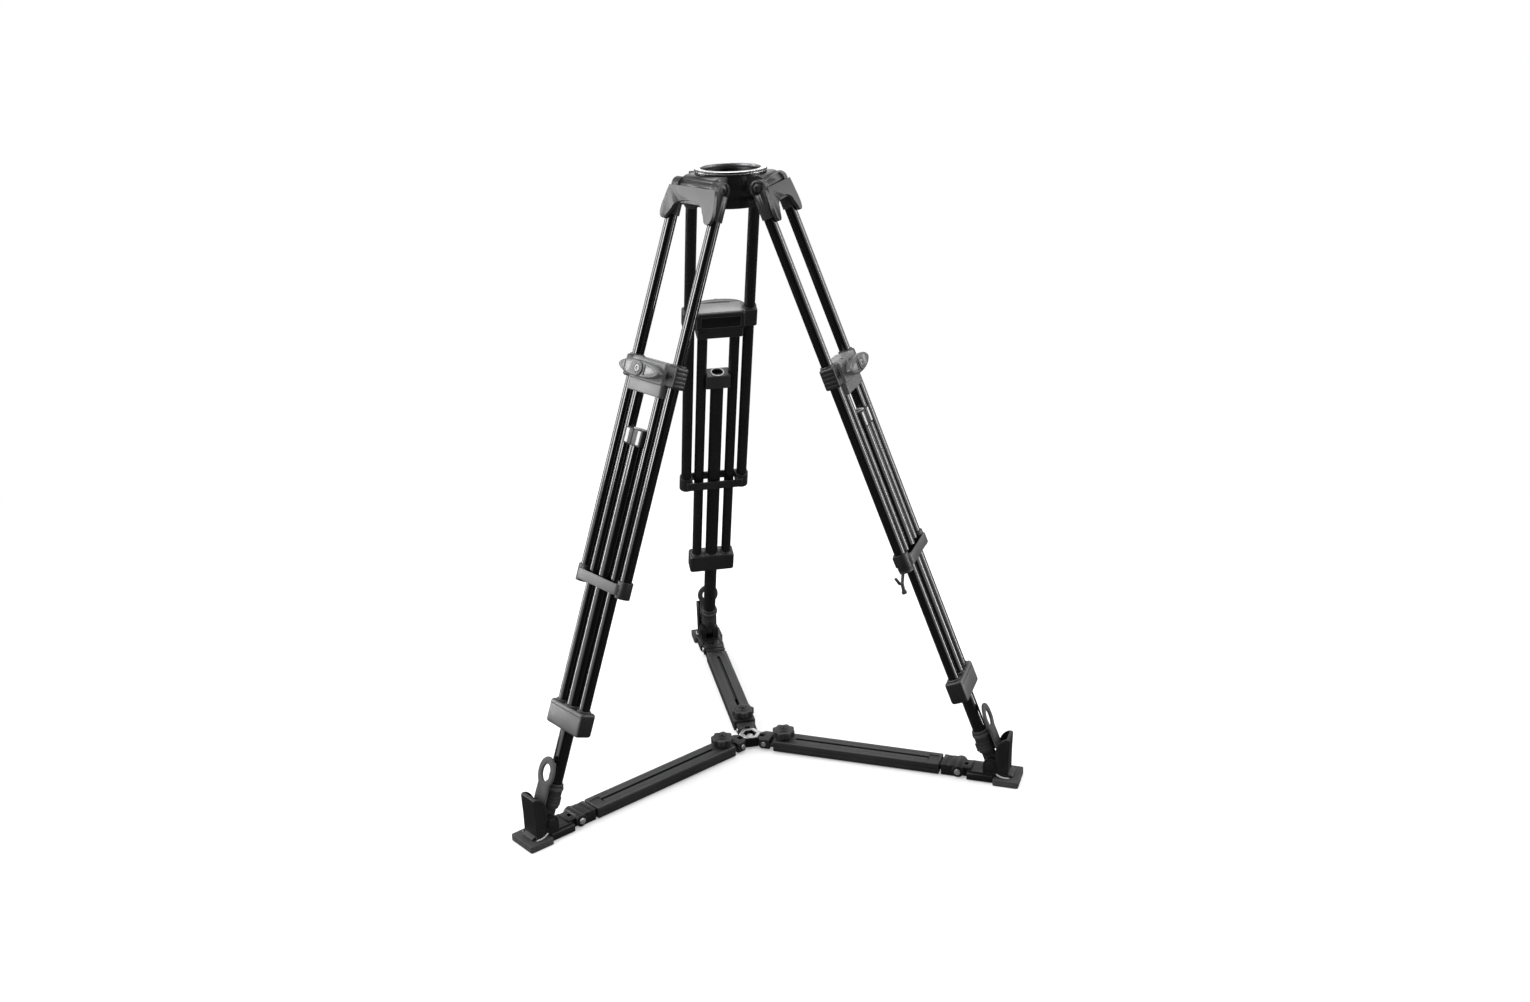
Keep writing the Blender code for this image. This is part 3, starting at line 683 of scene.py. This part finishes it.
def foot_casting():
    parts = [
        # deck, its wider base, and the cross bar of the ankle
        box((0.4200, 0.4925), 0.0200, (0.0126, 0.0178)),
        box((0.4170, 0.4640), 0.0250, (0.0018, 0.0150), 0.0012, 2),
        cyl("y", 0.0200, 0.0040, (ANKLE_X, ANKLE_Z), 28),
        # knuckle
        box((0.3970, 0.4240), 0.0150, (0.0025, 0.0205), 0.0010, 2),
        cyl("y", 0.0212, 0.0110, (KNUCKLE_X, KNUCKLE_Z), 40, bevel=0.0008),
        # collar, and the tongue that runs inward along the channel
        box((0.3692, 0.3960), 0.0188, (0.0017, 0.0233), 0.0010, 2),
        box((0.1500, 0.3740), 0.0143, (0.0129, 0.0185)),
    ]
    for side in SIDES:      # ankle ears
        y0, y1 = span(side, 0.0080, 0.0176)
        parts.append(box((ANKLE_X - 0.0138, ANKLE_X + 0.0138), (y0, y1), (0.0140, ANKLE_Z)))
        parts.append(cyl("y", (y0 + 0.0001, y1 - 0.0001), 0.0137, (ANKLE_X, ANKLE_Z), 40))
    # slot behind the knuckle, and a step across the collar's top
    body = cut(join(foot_scoop(), *parts),
               box((0.4090, 0.4160), 0.0040, (0.0140, 0.0300)),
               box((0.3770, 0.3850), 0.0220, (0.0222, 0.0300)))
    return soften(body, 0.0007, 2)


def channel():
    """Hollow bar with a slot along its top."""
    body = box((0.0520, 0.3660), 0.0210, (0.0020, 0.0230), 0.0022, 3)
    cutters = [box((0.0, 0.5), 0.0150, (0.0058, 0.0192)),
               outline("xy", (0.0150, 0.0350), rounded((0.0900, 0.3440), 0.0033, 0.0031))]
    # long grooves in the sides and the top, then a dish in the top near the outer end
    for side in SIDES:
        cutters.append(box((0.0, 0.5), span(side, 0.0203, 0.0230), (0.0104, 0.0134)))
        cutters.append(box((0.0920, 0.3480), (side * 0.0118 - 0.0006, side * 0.0118 + 0.0006),
                           (0.0224, 0.0300)))
    cutters.append(outline("xy", (0.0216, 0.0300), rounded((0.3420, 0.3625), 0.0110, 0.0030)))
    return soften(cut(body, *cutters), 0.0004, 1)


def hub_bar():
    """Slotted neck at the hub and a flat bar that runs out inside the channel."""
    neck = outline("xy", (0.0028, 0.0222),
                   [(0.0205, -0.0112), (0.0270, -0.0172), (0.0440, -0.0172),
                    (0.0440, 0.0172), (0.0270, 0.0172), (0.0205, 0.0112)])
    body = join(neck, box((0.0400, 0.3000), 0.0143, (0.0065, 0.0121)))
    body = cut(body, box((0.0200, 0.0290), 0.0052, (-0.01, 0.05)))
    return soften(body, 0.0014, 3)


def knob():
    """Eight-lobed knob about its own axis."""
    lobes, mean_radius, lobe_height = 8, 0.0197, 0.0015
    loop = []
    for i in range(128):
        angle = 2 * math.pi * i / 128
        radius = mean_radius + lobe_height * math.cos(lobes * angle)
        loop.append((radius * math.cos(angle), radius * math.sin(angle)))
    body = join(outline("xy", (0.0273, 0.0400), loop, bevel=0.0016, seg=3),
                cyl("z", (0.0233, 0.0305), 0.0105),
                cyl("z", (0.0365, 0.0417), 0.0120, end_radius=0.0105))
    return cut(body, cyl("z", (0.0407, 0.0500), 0.0085, seg=32))


# ------------------------------------------------------------------ crown, bowl, hub
def bowl_ring():
    """(radius, z) profile: outer wall with a groove, then the rounded seat."""
    z = RIM_Z
    profile = [(0.0592, z), (0.0600, z - 0.0004), (0.0604, z - 0.0012), (0.0604, z - 0.0034),
               (0.0598, z - 0.0038), (0.0598, z - 0.0044), (0.0604, z - 0.0048),
               (0.0604, z - 0.0072), (0.0525, z - 0.0072), (0.0525, z - 0.0250),
               (0.0445, z - 0.0250)]
    for i in range(9):
        profile.append((0.0447 + 0.0051 * math.sin(math.pi / 2 * i / 8),
                        z - 0.0235 + 0.0205 * i / 8))
    profile += [(0.0504, z - 0.0010), (0.0512, z)]
    return turned(profile, 128)


def crown():
    """Open cup with a wedge and a hinge barrel for each leg."""
    z = RIM_Z
    body = cyl("z", (z - 0.0322, z - 0.0075), 0.0578, seg=96)
    parts = [cyl("z", (z - 0.0422, z - 0.0318), 0.0505, seg=96, end_radius=0.0574),
             cyl("z", (z - 0.0620, z - 0.0418), 0.0455, seg=96, end_radius=0.0509)]
    for _, azimuth in LEGS:
        wedge = outline("xz", 0.0402,      # (x, z)
                        [(0.0400, z - 0.0077), (0.0588, z - 0.0077), (0.0640, z - 0.0088),
                         (0.0680, z - 0.0106), (0.0706, z - 0.0134), (0.0720, z - 0.0176),
                         (0.0716, z - 0.0260), (0.0700, z - 0.0340), (0.0640, z - 0.0380),
                         (0.0400, z - 0.0395)])
        barrel = cyl("y", 0.0408, 0.0126, (HINGE_X, HINGE_Z), 44)
        for part in (wedge, barrel):
            part.data.transform(spin(azimuth))
            parts.append(part)
    body = join(body, *parts)
    cutters = [cyl("z", (z - 0.0280, z + 0.0130), 0.0530, seg=96),
               cyl("z", (z - 0.0340, z - 0.0278), 0.0300, seg=96, end_radius=0.0532),
               cyl("z", (z - 0.0780, z - 0.0335), 0.0300, seg=96)]
    for _, azimuth in LEGS:
        pin = cyl("y", 0.0600, 0.0067, (HINGE_X, HINGE_Z), 28)
        pin.data.transform(spin(azimuth))
        cutters.append(pin)
    return soften(cut(body, *cutters), 0.0012, 3)


def hub():
    """Hexagon with a hexagonal recess, on a round foot."""
    flat_radius = 0.0200
    body = join(cyl("z", (0.0030, 0.0213), flat_radius / math.cos(math.pi / 6), seg=6,
                    turn=HEX_TURN, bevel=0.0010),
                cyl("z", (0.0, 0.0060), 0.0150, seg=40, bevel=0.0010))
    return cut(body, cyl("z", (0.0120, 0.0400), 0.0120, seg=6, turn=HEX_TURN))


def hub_ring():
    return cut(cyl("z", (0.0209, 0.0221), 0.0212, seg=6, turn=HEX_TURN, bevel=0.0003),
               cyl("z", (0.0100, 0.0400), 0.0135, seg=6, turn=HEX_TURN))


# ------------------------------------------------------------------ small parts
def panel_bead():
    return outline("yz", (-0.0194, -0.0190), rounded(0.0376, 0.0121, 0.0030),
                   rounded(0.0362, 0.0107, 0.0026)[::-1])


def lever_inset():
    """Insert in the dish of the lever's +Y wing; (y, z)."""
    return outline("yz", (0.0358, 0.0370),
                   [(0.0180, -0.0068), (0.0300, -0.0056), (0.0415, -0.0026), (0.0430, 0.0),
                    (0.0415, 0.0026), (0.0300, 0.0056), (0.0180, 0.0068)], bevel=0.0003)


def lever_plate():
    """Tapered plate on the lever's -Y wing; (y, z)."""
    return outline("yz", (0.0370, 0.0379), [(-0.0180, 0.0088), (-0.0330, 0.0072),
                                            (-0.0330, -0.0072), (-0.0180, -0.0088)],
                   bevel=0.0004)


def strap_foot():
    """Curved strip from the foot's deck up the scoop; (x, z) in the arm frame."""
    return outline("xz", 0.0148,
                   [(0.4700, 0.0440), (0.4730, 0.0360), (0.4770, 0.0290), (0.4830, 0.0230),
                    (0.4900, 0.0185), (0.4985, 0.0160), (0.4985, 0.0128), (0.4880, 0.0140),
                    (0.4800, 0.0185), (0.4735, 0.0250), (0.4690, 0.0330), (0.4665, 0.0425)],
                   bevel=0.0010)


# painted highlight: a thin light grey strip along the lower edge of each scoop wall
def scoop_bead(side):
    return sweep([(0.4700, side * 0.0212, 0.0190), (0.4730, side * 0.0216, 0.0170),
                  (0.4780, side * 0.0222, 0.0150), (0.4850, side * 0.0226, 0.0140),
                  (0.4930, side * 0.0215, 0.0138)], 0.0014, 3)


def wiper(tube_radius, grow, top, drop, bottom, chamfer, steps=40):
    """Collar standing proud of a tube by grow."""
    return ring(tube_radius + grow, tube_radius + 0.0005, top, bottom, chamfer, drop, steps)


# pieces that every leg has; those placed by a pin, screw or collar are drawn about their own axis
PARTS = {
    "shoulder": shoulder(),
    "hinge_shaft": hinge_shaft(),
    "outer_tie": tie(),
    "clamp_housing": clamp_housing(),
    "clamp_lever": clamp_lever(),
    "bottom_block": bottom_block(),
    "top_guide": guide(),
    "boot": boot(),
    "strap": strap(),
    "pad": pad(),
    "foot_casting": foot_casting(),
    "channel": channel(),
    "hub_bar": hub_bar(),
    "lock_knob": knob(),
    "centre_tube": tube(0.0, CENTRE_R, CENTRE_BORE, -GUIDE_DROP - 0.0080, -ANKLE_DROP + 0.0320),
    "clamp_panel": outline("yz", (-0.0192, -0.0183), rounded(0.0376, 0.0121, 0.0030),
                           bevel=0.0003),
    "clamp_panel_bead": panel_bead(),
    "clamp_top_plate": outline("xy", (0.0186, 0.0195),
                               rounded((-0.0145, 0.0140), 0.0395, 0.0030), bevel=0.0004),
    "clamp_pin": cyl("z", (0.0175, 0.0196), 0.0022, seg=24, bevel=0.0004),
    "lever_screw": socket_screw("x", 0.0386, radius=0.0066, height=0.0018),
    "lever_inset_1": lever_inset(),
    "lever_inset_2": lever_plate(),
    "housing_screw": socket_screw("x", 0.0128, radius=0.0030, height=0.0014),
    "tie_screw": socket_screw("x", 0.0129, radius=0.0026, height=0.0012),
    "knob_screw": socket_screw("z", 0.0405, radius=0.0062, height=0.0016),
    "outer_wiper": wiper(OUTER_R, 0.0028, 0.0, 0.0010, -0.0030, chamfer=0.0004),
    "inner_wiper": wiper(INNER_R, 0.0026, 0.0012, 0.0008, -0.0012, chamfer=0.0006),
    "block_wiper": wiper(CENTRE_R, 0.0030, 0.0012, 0.0008, -0.0018, chamfer=0.0008, steps=44),
    "guide_rim": ring(0.0127, 0.0108, 0.0150, 0.0132, chamfer=0.0005, drop=0.0004, steps=44),
    "guide_shoe": box((0.0100, 0.0149), 0.0040, 0.0120, 0.0010, 2),
    "ankle_head": cyl("y", (0.0, ANKLE_HEAD_H), 0.0090, bevel=0.0008),
    "knuckle_pin": cyl("y", (0.0, KNUCKLE_PIN_H), 0.0056, seg=32, bevel=0.0010),
    "hub_pin": cyl("y", (0.0, HUB_PIN_H), 0.0046, seg=28, bevel=0.0007),
    "boot_clip": box((-0.0172, -0.0140), 0.0062, (0.0260, 0.0420), 0.0010, 2),
    "boot_band": turned([(0.0164, 0.0600), (0.0168, 0.0596), (0.0168, 0.0556),
                         (0.0164, 0.0552), (0.0150, 0.0552), (0.0150, 0.0600)], 44),
    "strap_rib": outline("yz", (0.0245, 0.0254), ellipse((0.0, 0.0), (0.0090, 0.0009), 18),
                         bevel=0.0002),
    "strap_foot": strap_foot(),
}
for number, side in enumerate(SIDES, 1):
    PARTS[f"outer_tube_{number}"] = tube(side * OUTER_Y, OUTER_R, OUTER_BORE, -0.0172,
                                         -TIE_DROP - 0.0080)
    PARTS[f"inner_tube_{number}"] = tube(side * INNER_Y, INNER_R, INNER_BORE, -0.0066,
                                         -BLOCK_DROP - 0.0120)
    PARTS[f"scoop_bead_{number}"] = scoop_bead(side)


# ------------------------------------------------------------------ placing
def put(name, obj, body, material, matrix, node_name=None, smooth=34):
    """Show a piece's mesh, tie it to a moving body and register its material slot."""
    mesh = obj.data
    mesh.shade_smooth()
    mesh.set_sharp_from_angle(angle=math.radians(smooth))
    new = bpy.data.objects.new(name, mesh)
    show.objects.link(new)
    new.matrix_world = matrix
    if not mesh.materials:
        mesh.materials.append(None)
    new.material_slots[0].link = "OBJECT"
    new.material_slots[0].material = MATERIALS[material]
    bpy.context.view_layer.update()
    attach(new, body)
    if node_name:
        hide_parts(node_name)


def cap_start(side, face, height):
    """Low end in Y of a cap of this height standing on a side face."""
    return side * face - (height if side < 0 else 0.0)


def place_leg(leg, azimuth):
    arm = spin(azimuth)
    frame = leg_frame(azimuth)
    clamp = frame @ shift(z=-CLAMP_DROP[leg])
    # the right lever is set half a turn round from the others
    lever = clamp @ Matrix.Rotation(math.pi, 4, "X") if leg == "right" else clamp
    guide_frame = frame @ shift(z=-GUIDE_DROP)
    ankle_frame = frame @ shift(z=-ANKLE_DROP)
    knob_frame = arm @ shift(x=KNOB_X)
    # the rear leg's tubes use the painted-light copy of the tube black
    tube_paint = "rear_tube_painted_light" if leg == "rear" else "gloss_tube"

    def main(key, body, material, matrix):
        """A piece that replaces a CAD node."""
        put(f"{leg}_{key}_v", PARTS[key], f"{leg}_{body}", material, matrix,
            f"{leg}_{key}")

    def detail(key, body, material, matrix, slot="black_plastic", suffix=""):
        """A piece with no CAD node of its own."""
        put(f"{leg}_{key}{suffix}", PARTS[key], f"{leg}_{body}", material, matrix)

    main("shoulder", "leg", "shoulder_grey", frame)
    main("hinge_shaft", "leg", "dark_steel", frame)
    main("outer_tube_1", "leg", tube_paint, frame)
    main("outer_tube_2", "leg", tube_paint, frame)
    main("outer_tie", "leg", "tie_grey", frame)
    main("clamp_housing", "mid", "housing", clamp)
    main("clamp_lever", "lever", "lever_plastic", lever)
    main("inner_tube_1", "mid", tube_paint, clamp)
    main("inner_tube_2", "mid", tube_paint, clamp)
    main("bottom_block", "mid", "block_grey", clamp)
    main("centre_tube", "lower", tube_paint, frame)
    main("top_guide", "lower", "guide_plastic", frame)
    main("boot", "lower", "black_plastic", frame)
    main("strap", "lower", "rubber_strap", frame)
    # each pad has its own mesh, turned in place, with its object at the origin
    own_pad = add_work(PARTS["pad"].data.copy())
    own_pad.data.transform(arm)
    put(f"{leg}_pad_v", own_pad, f"{leg}_foot", "rubber", Matrix.Identity(4),
        f"{leg}_pad")
    main("foot_casting", "foot", "foot_black", arm)
    main("channel", "channel", "arm_black", arm)
    main("hub_bar", "hub_bar", "arm_black", arm)
    main("lock_knob", "knob", "black_plastic", knob_frame)

    detail("clamp_panel", "mid", "panel", clamp)
    detail("clamp_panel_bead", "mid", "black_plastic", clamp)
    detail("clamp_top_plate", "mid", "clamp_grey", clamp, "cast_grey")
    detail("lever_screw", "lever", "screw_grey", lever, "dark_steel")
    # the lever's insert and plate are painted light grey as a highlight
    detail("lever_inset_1", "lever", "lever_highlight", lever, "lever_plastic")
    detail("lever_inset_2", "lever", "lever_highlight", lever, "lever_plastic")
    detail("clamp_pin", "mid", "dark_steel", clamp @ shift(0.0155, -0.018), "dark_steel")
    for number, side in enumerate(SIDES, 1):
        suffix = f"_{number}"
        detail("housing_screw", "mid", "dark_steel", clamp @ shift(y=side * 0.0600),
               "dark_steel", suffix)
        detail("tie_screw", "leg", "dark_steel", frame @ shift(y=side * OUTER_Y, z=-TIE_DROP),
               "dark_steel", suffix)
        detail("outer_wiper", "mid", "black_plastic",
               clamp @ shift(y=side * OUTER_Y, z=0.0208), suffix=suffix)
        detail("inner_wiper", "mid", "black_plastic",
               clamp @ shift(y=side * INNER_Y, z=-BLOCK_DROP + 0.0213), suffix=suffix)
        detail("guide_shoe", "lower", "bush", frame @ shift(y=side * 0.0150, z=-GUIDE_DROP),
               "guide_plastic", suffix)
        detail("ankle_head", "foot", "foot_black",
               arm @ shift(ANKLE_X, cap_start(side, 0.0176, ANKLE_HEAD_H), ANKLE_Z),
               suffix=suffix)
        detail("knuckle_pin", "foot", "bright_steel",
               arm @ shift(KNUCKLE_X, cap_start(side, 0.0210, KNUCKLE_PIN_H), KNUCKLE_Z),
               "dark_steel", suffix)
        detail("hub_pin", "hub_bar", "bright_steel",
               arm @ shift(HUB_PIN_X, cap_start(side, 0.0172, HUB_PIN_H), HUB_PIN_Z),
               "dark_steel", suffix)
        # the light grey strips on the scoop walls are a painted edge highlight
        detail("scoop_bead" + suffix, "foot", "edge_highlight", arm, "rubber")
    detail("block_wiper", "mid", "black_plastic", clamp @ shift(z=-BLOCK_DROP + 0.0213))
    detail("guide_rim", "lower", "bush", guide_frame, "guide_plastic")
    detail("boot_clip", "lower", "black_plastic", ankle_frame)
    detail("boot_band", "lower", "rubber_strap", ankle_frame)
    for k in range(4):
        detail("strap_rib", "lower", "rubber_strap", frame @ shift(z=-1.0440 - 0.0052 * k),
               "rubber", f"_{k + 1}")
    detail("strap_foot", "foot", "rubber_strap", arm, "rubber")
    detail("knob_screw", "knob", "dark_steel", knob_frame, "dark_steel")


def place_accessory_clip():
    """Y-shaped clip under the right leg's tie, on its inward side."""
    clip = join(sweep([(-0.0040, -0.0550, -0.6800), (-0.0090, -0.0590, -0.6930),
                       (-0.0120, -0.0660, -0.7030)], 0.0029),
                sweep([(-0.0120, -0.0655, -0.7035), (-0.0120, -0.0770, -0.6980),
                       (-0.0120, -0.0860, -0.6850)], 0.0026),
                sweep([(-0.0120, -0.0658, -0.7020), (-0.0125, -0.0690, -0.7150)], 0.0031))
    clip_knob = cyl("z", (-0.7200, -0.7140), 0.0046, (-0.0126, -0.0694), 28, bevel=0.0014)
    collar = shifted(ring(0.0128, 0.0060, -0.6815, -0.6865, chamfer=0.0004, drop=0.0010),
                     (0.0, -OUTER_Y, 0.0))
    frame = leg_frame(dict(LEGS)["right"])
    for name, obj in (("accessory_clip", clip), ("clip_knob", clip_knob),
                      ("clip_collar", collar)):
        put("right_" + name, obj, "right_leg", "black_plastic", frame)


for leg, azimuth in LEGS:
    place_leg(leg, azimuth)

HOME = Matrix.Identity(4)
put("crown_v", crown(), "crown", "crown_black", HOME, "crown")
put("bowl_ring_v", bowl_ring(), "crown", "rim", HOME, "bowl_ring", smooth=40)
put("hub_v", hub(), "rear_hub_bar", "dark_steel", HOME, "hub")
put("hub_ring", hub_ring(), "rear_hub_bar", "bright_steel", HOME, smooth=25)
put("hub_stud", cyl("z", (0.0110, 0.0190), 0.0062, seg=32, bevel=0.0020), "rear_hub_bar",
    "bright_steel", HOME)
place_accessory_clip()

for leftover in list(work.objects):
    bpy.data.objects.remove(leftover, do_unlink=True)

# ------------------------------------------------------------------ floor
WHITE = (1, 1, 1, 1)
FLOOR_FADE = (0.9, 2.6)         # distance from the axis over which the floor turns to glow
FLOOR_NEAR = 0.35               # share of glow inside that distance
FLOOR_SEEN = 0.06               # brightness of the floor in reflections


def floor_material():
    """Matt near the tripod, glowing white far off, dim where it is reflected."""
    material, tree, shader = new_material("pale_floor")
    feed(tree, shader, {"Base Color": (0.90, 0.90, 0.90, 1), "Roughness": 0.9,
                        "Specular IOR Level": 0.1})
    distance = vector_maths(tree, "LENGTH", node(tree, "TexCoord").outputs["Object"])
    far = remap(tree, distance, source=FLOOR_FADE, target=(FLOOR_NEAR, 1.0))
    path = node(tree, "LightPath")
    glow = node(tree, "Emission", {"Color": WHITE})
    dim = node(tree, "Emission", {"Color": (FLOOR_SEEN, FLOOR_SEEN, FLOOR_SEEN, 1)})
    direct = node(tree, "MixShader", {0: far, 1: shader.outputs[0], 2: glow.outputs[0]})
    surface = node(tree, "MixShader", {0: path.outputs["Is Glossy Ray"],
                                       1: direct.outputs[0], 2: dim.outputs[0]})
    feed(tree, tree.nodes["Material Output"], {"Surface": surface.outputs[0]})
    return material


def add_floor():
    bm = bmesh.new()
    bmesh.ops.create_grid(bm, x_segments=2, y_segments=2, size=14.0)
    mesh = bpy.data.meshes.new("floor")
    bm.to_mesh(mesh)
    bm.free()
    floor = bpy.data.objects.new("floor", mesh)
    floor.location = (0, 0, -0.0005)
    bpy.context.scene.collection.objects.link(floor)
    mesh.materials.append(floor_material())


add_floor()

# ------------------------------------------------------------------ camera
PITCH = math.radians(19.923)        # below the horizon
YAW = math.radians(0.9063)          # from +Y towards +X
ROLL = math.radians(-1.6451)
VIEW_TURN = math.radians(-10.1665)  # of the whole view about Z
CAMERA_PLACE = (-0.45810, -2.55456, 1.42557)
LENS_MM, SENSOR_MM = 36.516941, 36.0


def view_axes():
    """The camera's right, up and forward directions."""
    forward = Vector((math.sin(YAW) * math.cos(PITCH), math.cos(YAW) * math.cos(PITCH),
                      -math.sin(PITCH)))
    level_right = forward.cross(Vector((0, 0, 1))).normalized()
    level_up = level_right.cross(forward)
    right = math.cos(ROLL) * level_right + math.sin(ROLL) * level_up
    up = -math.sin(ROLL) * level_right + math.cos(ROLL) * level_up
    turn = Matrix.Rotation(VIEW_TURN, 3, "Z")
    return turn @ right, turn @ up, turn @ forward


VIEW_RIGHT, VIEW_UP, VIEW_FORWARD = view_axes()


def add_camera():
    data = bpy.data.cameras.new("camera")
    data.lens = LENS_MM
    data.sensor_width = SENSOR_MM
    data.clip_end = 60.0
    camera = bpy.data.objects.new("camera", data)
    bpy.context.scene.collection.objects.link(camera)
    matrix = Matrix((VIEW_RIGHT, VIEW_UP, -VIEW_FORWARD)).transposed().to_4x4()
    matrix.translation = CAMERA_PLACE
    camera.matrix_world = matrix
    bpy.context.scene.camera = camera


add_camera()
bpy.context.scene.view_settings.view_transform = "Standard"

# ------------------------------------------------------------------ light
# brightness of the world to either side, above, beyond the tripod, and everywhere
SIDE_LEVEL, TOP_LEVEL, BACK_LEVEL, AMBIENT = 1.6, 0.9, 1.3, 0.02


def add_world():
    """White sides and a dark front, as in a light tent with the camera's end left open."""
    world = bpy.data.worlds.new("studio")
    world.use_nodes = True
    tree = world.node_tree
    coord = node(tree, "TexCoord").outputs["Generated"]

    def facing(direction):
        return vector_maths(tree, "DOT_PRODUCT", coord, direction)

    sides = remap(tree, maths(tree, "ABSOLUTE", facing(tuple(VIEW_RIGHT))),
                  source=(0.55, 0.88), target=(0.0, SIDE_LEVEL))
    sky = remap(tree, facing((0, 0, 1)), source=(0.35, 0.95), target=(0.0, TOP_LEVEL))
    back = remap(tree, facing(tuple(VIEW_FORWARD)), source=(0.45, 0.95),
                 target=(0.0, BACK_LEVEL))
    total = sides
    for part in (sky, back, AMBIENT):
        total = maths(tree, "ADD", total, part)
    # the camera itself sees plain white
    path = node(tree, "LightPath")
    level = node(tree, "Mix", {0: path.outputs["Is Camera Ray"], 2: total, 3: 1.0})
    feed(tree, tree.nodes["Background"], {"Strength": level.outputs[0], "Color": WHITE})
    bpy.context.scene.world = world


add_world()

# name, place, point it faces, width, height, watts
AREA_LIGHTS = (
    ("key_left", (-2.6, -1.2, 2.2), (0, 0, 0.5), 0.9, 1.8, 60),
    ("strip_left", (-2.2, 0.9, 1.0), (0, 0, 0.5), 0.22, 2.4, 30),
    ("strip_right", (2.4, -0.6, 1.1), (0, 0, 0.5), 0.22, 2.4, 30),
    ("top", (0.2, 0.3, 3.0), (0, 0, 0.4), 1.8, 1.8, 55),
)
for name, place, target, width, height, watts in AREA_LIGHTS:
    light = bpy.data.lights.new(name, "AREA")
    light.shape = "RECTANGLE"
    light.size = width
    light.size_y = height
    light.energy = watts
    lamp = bpy.data.objects.new(name, light)
    bpy.context.scene.collection.objects.link(lamp)
    lamp.location = place
    lamp.rotation_euler = (Vector(target) - Vector(place)).to_track_quat("-Z", "Y").to_euler()
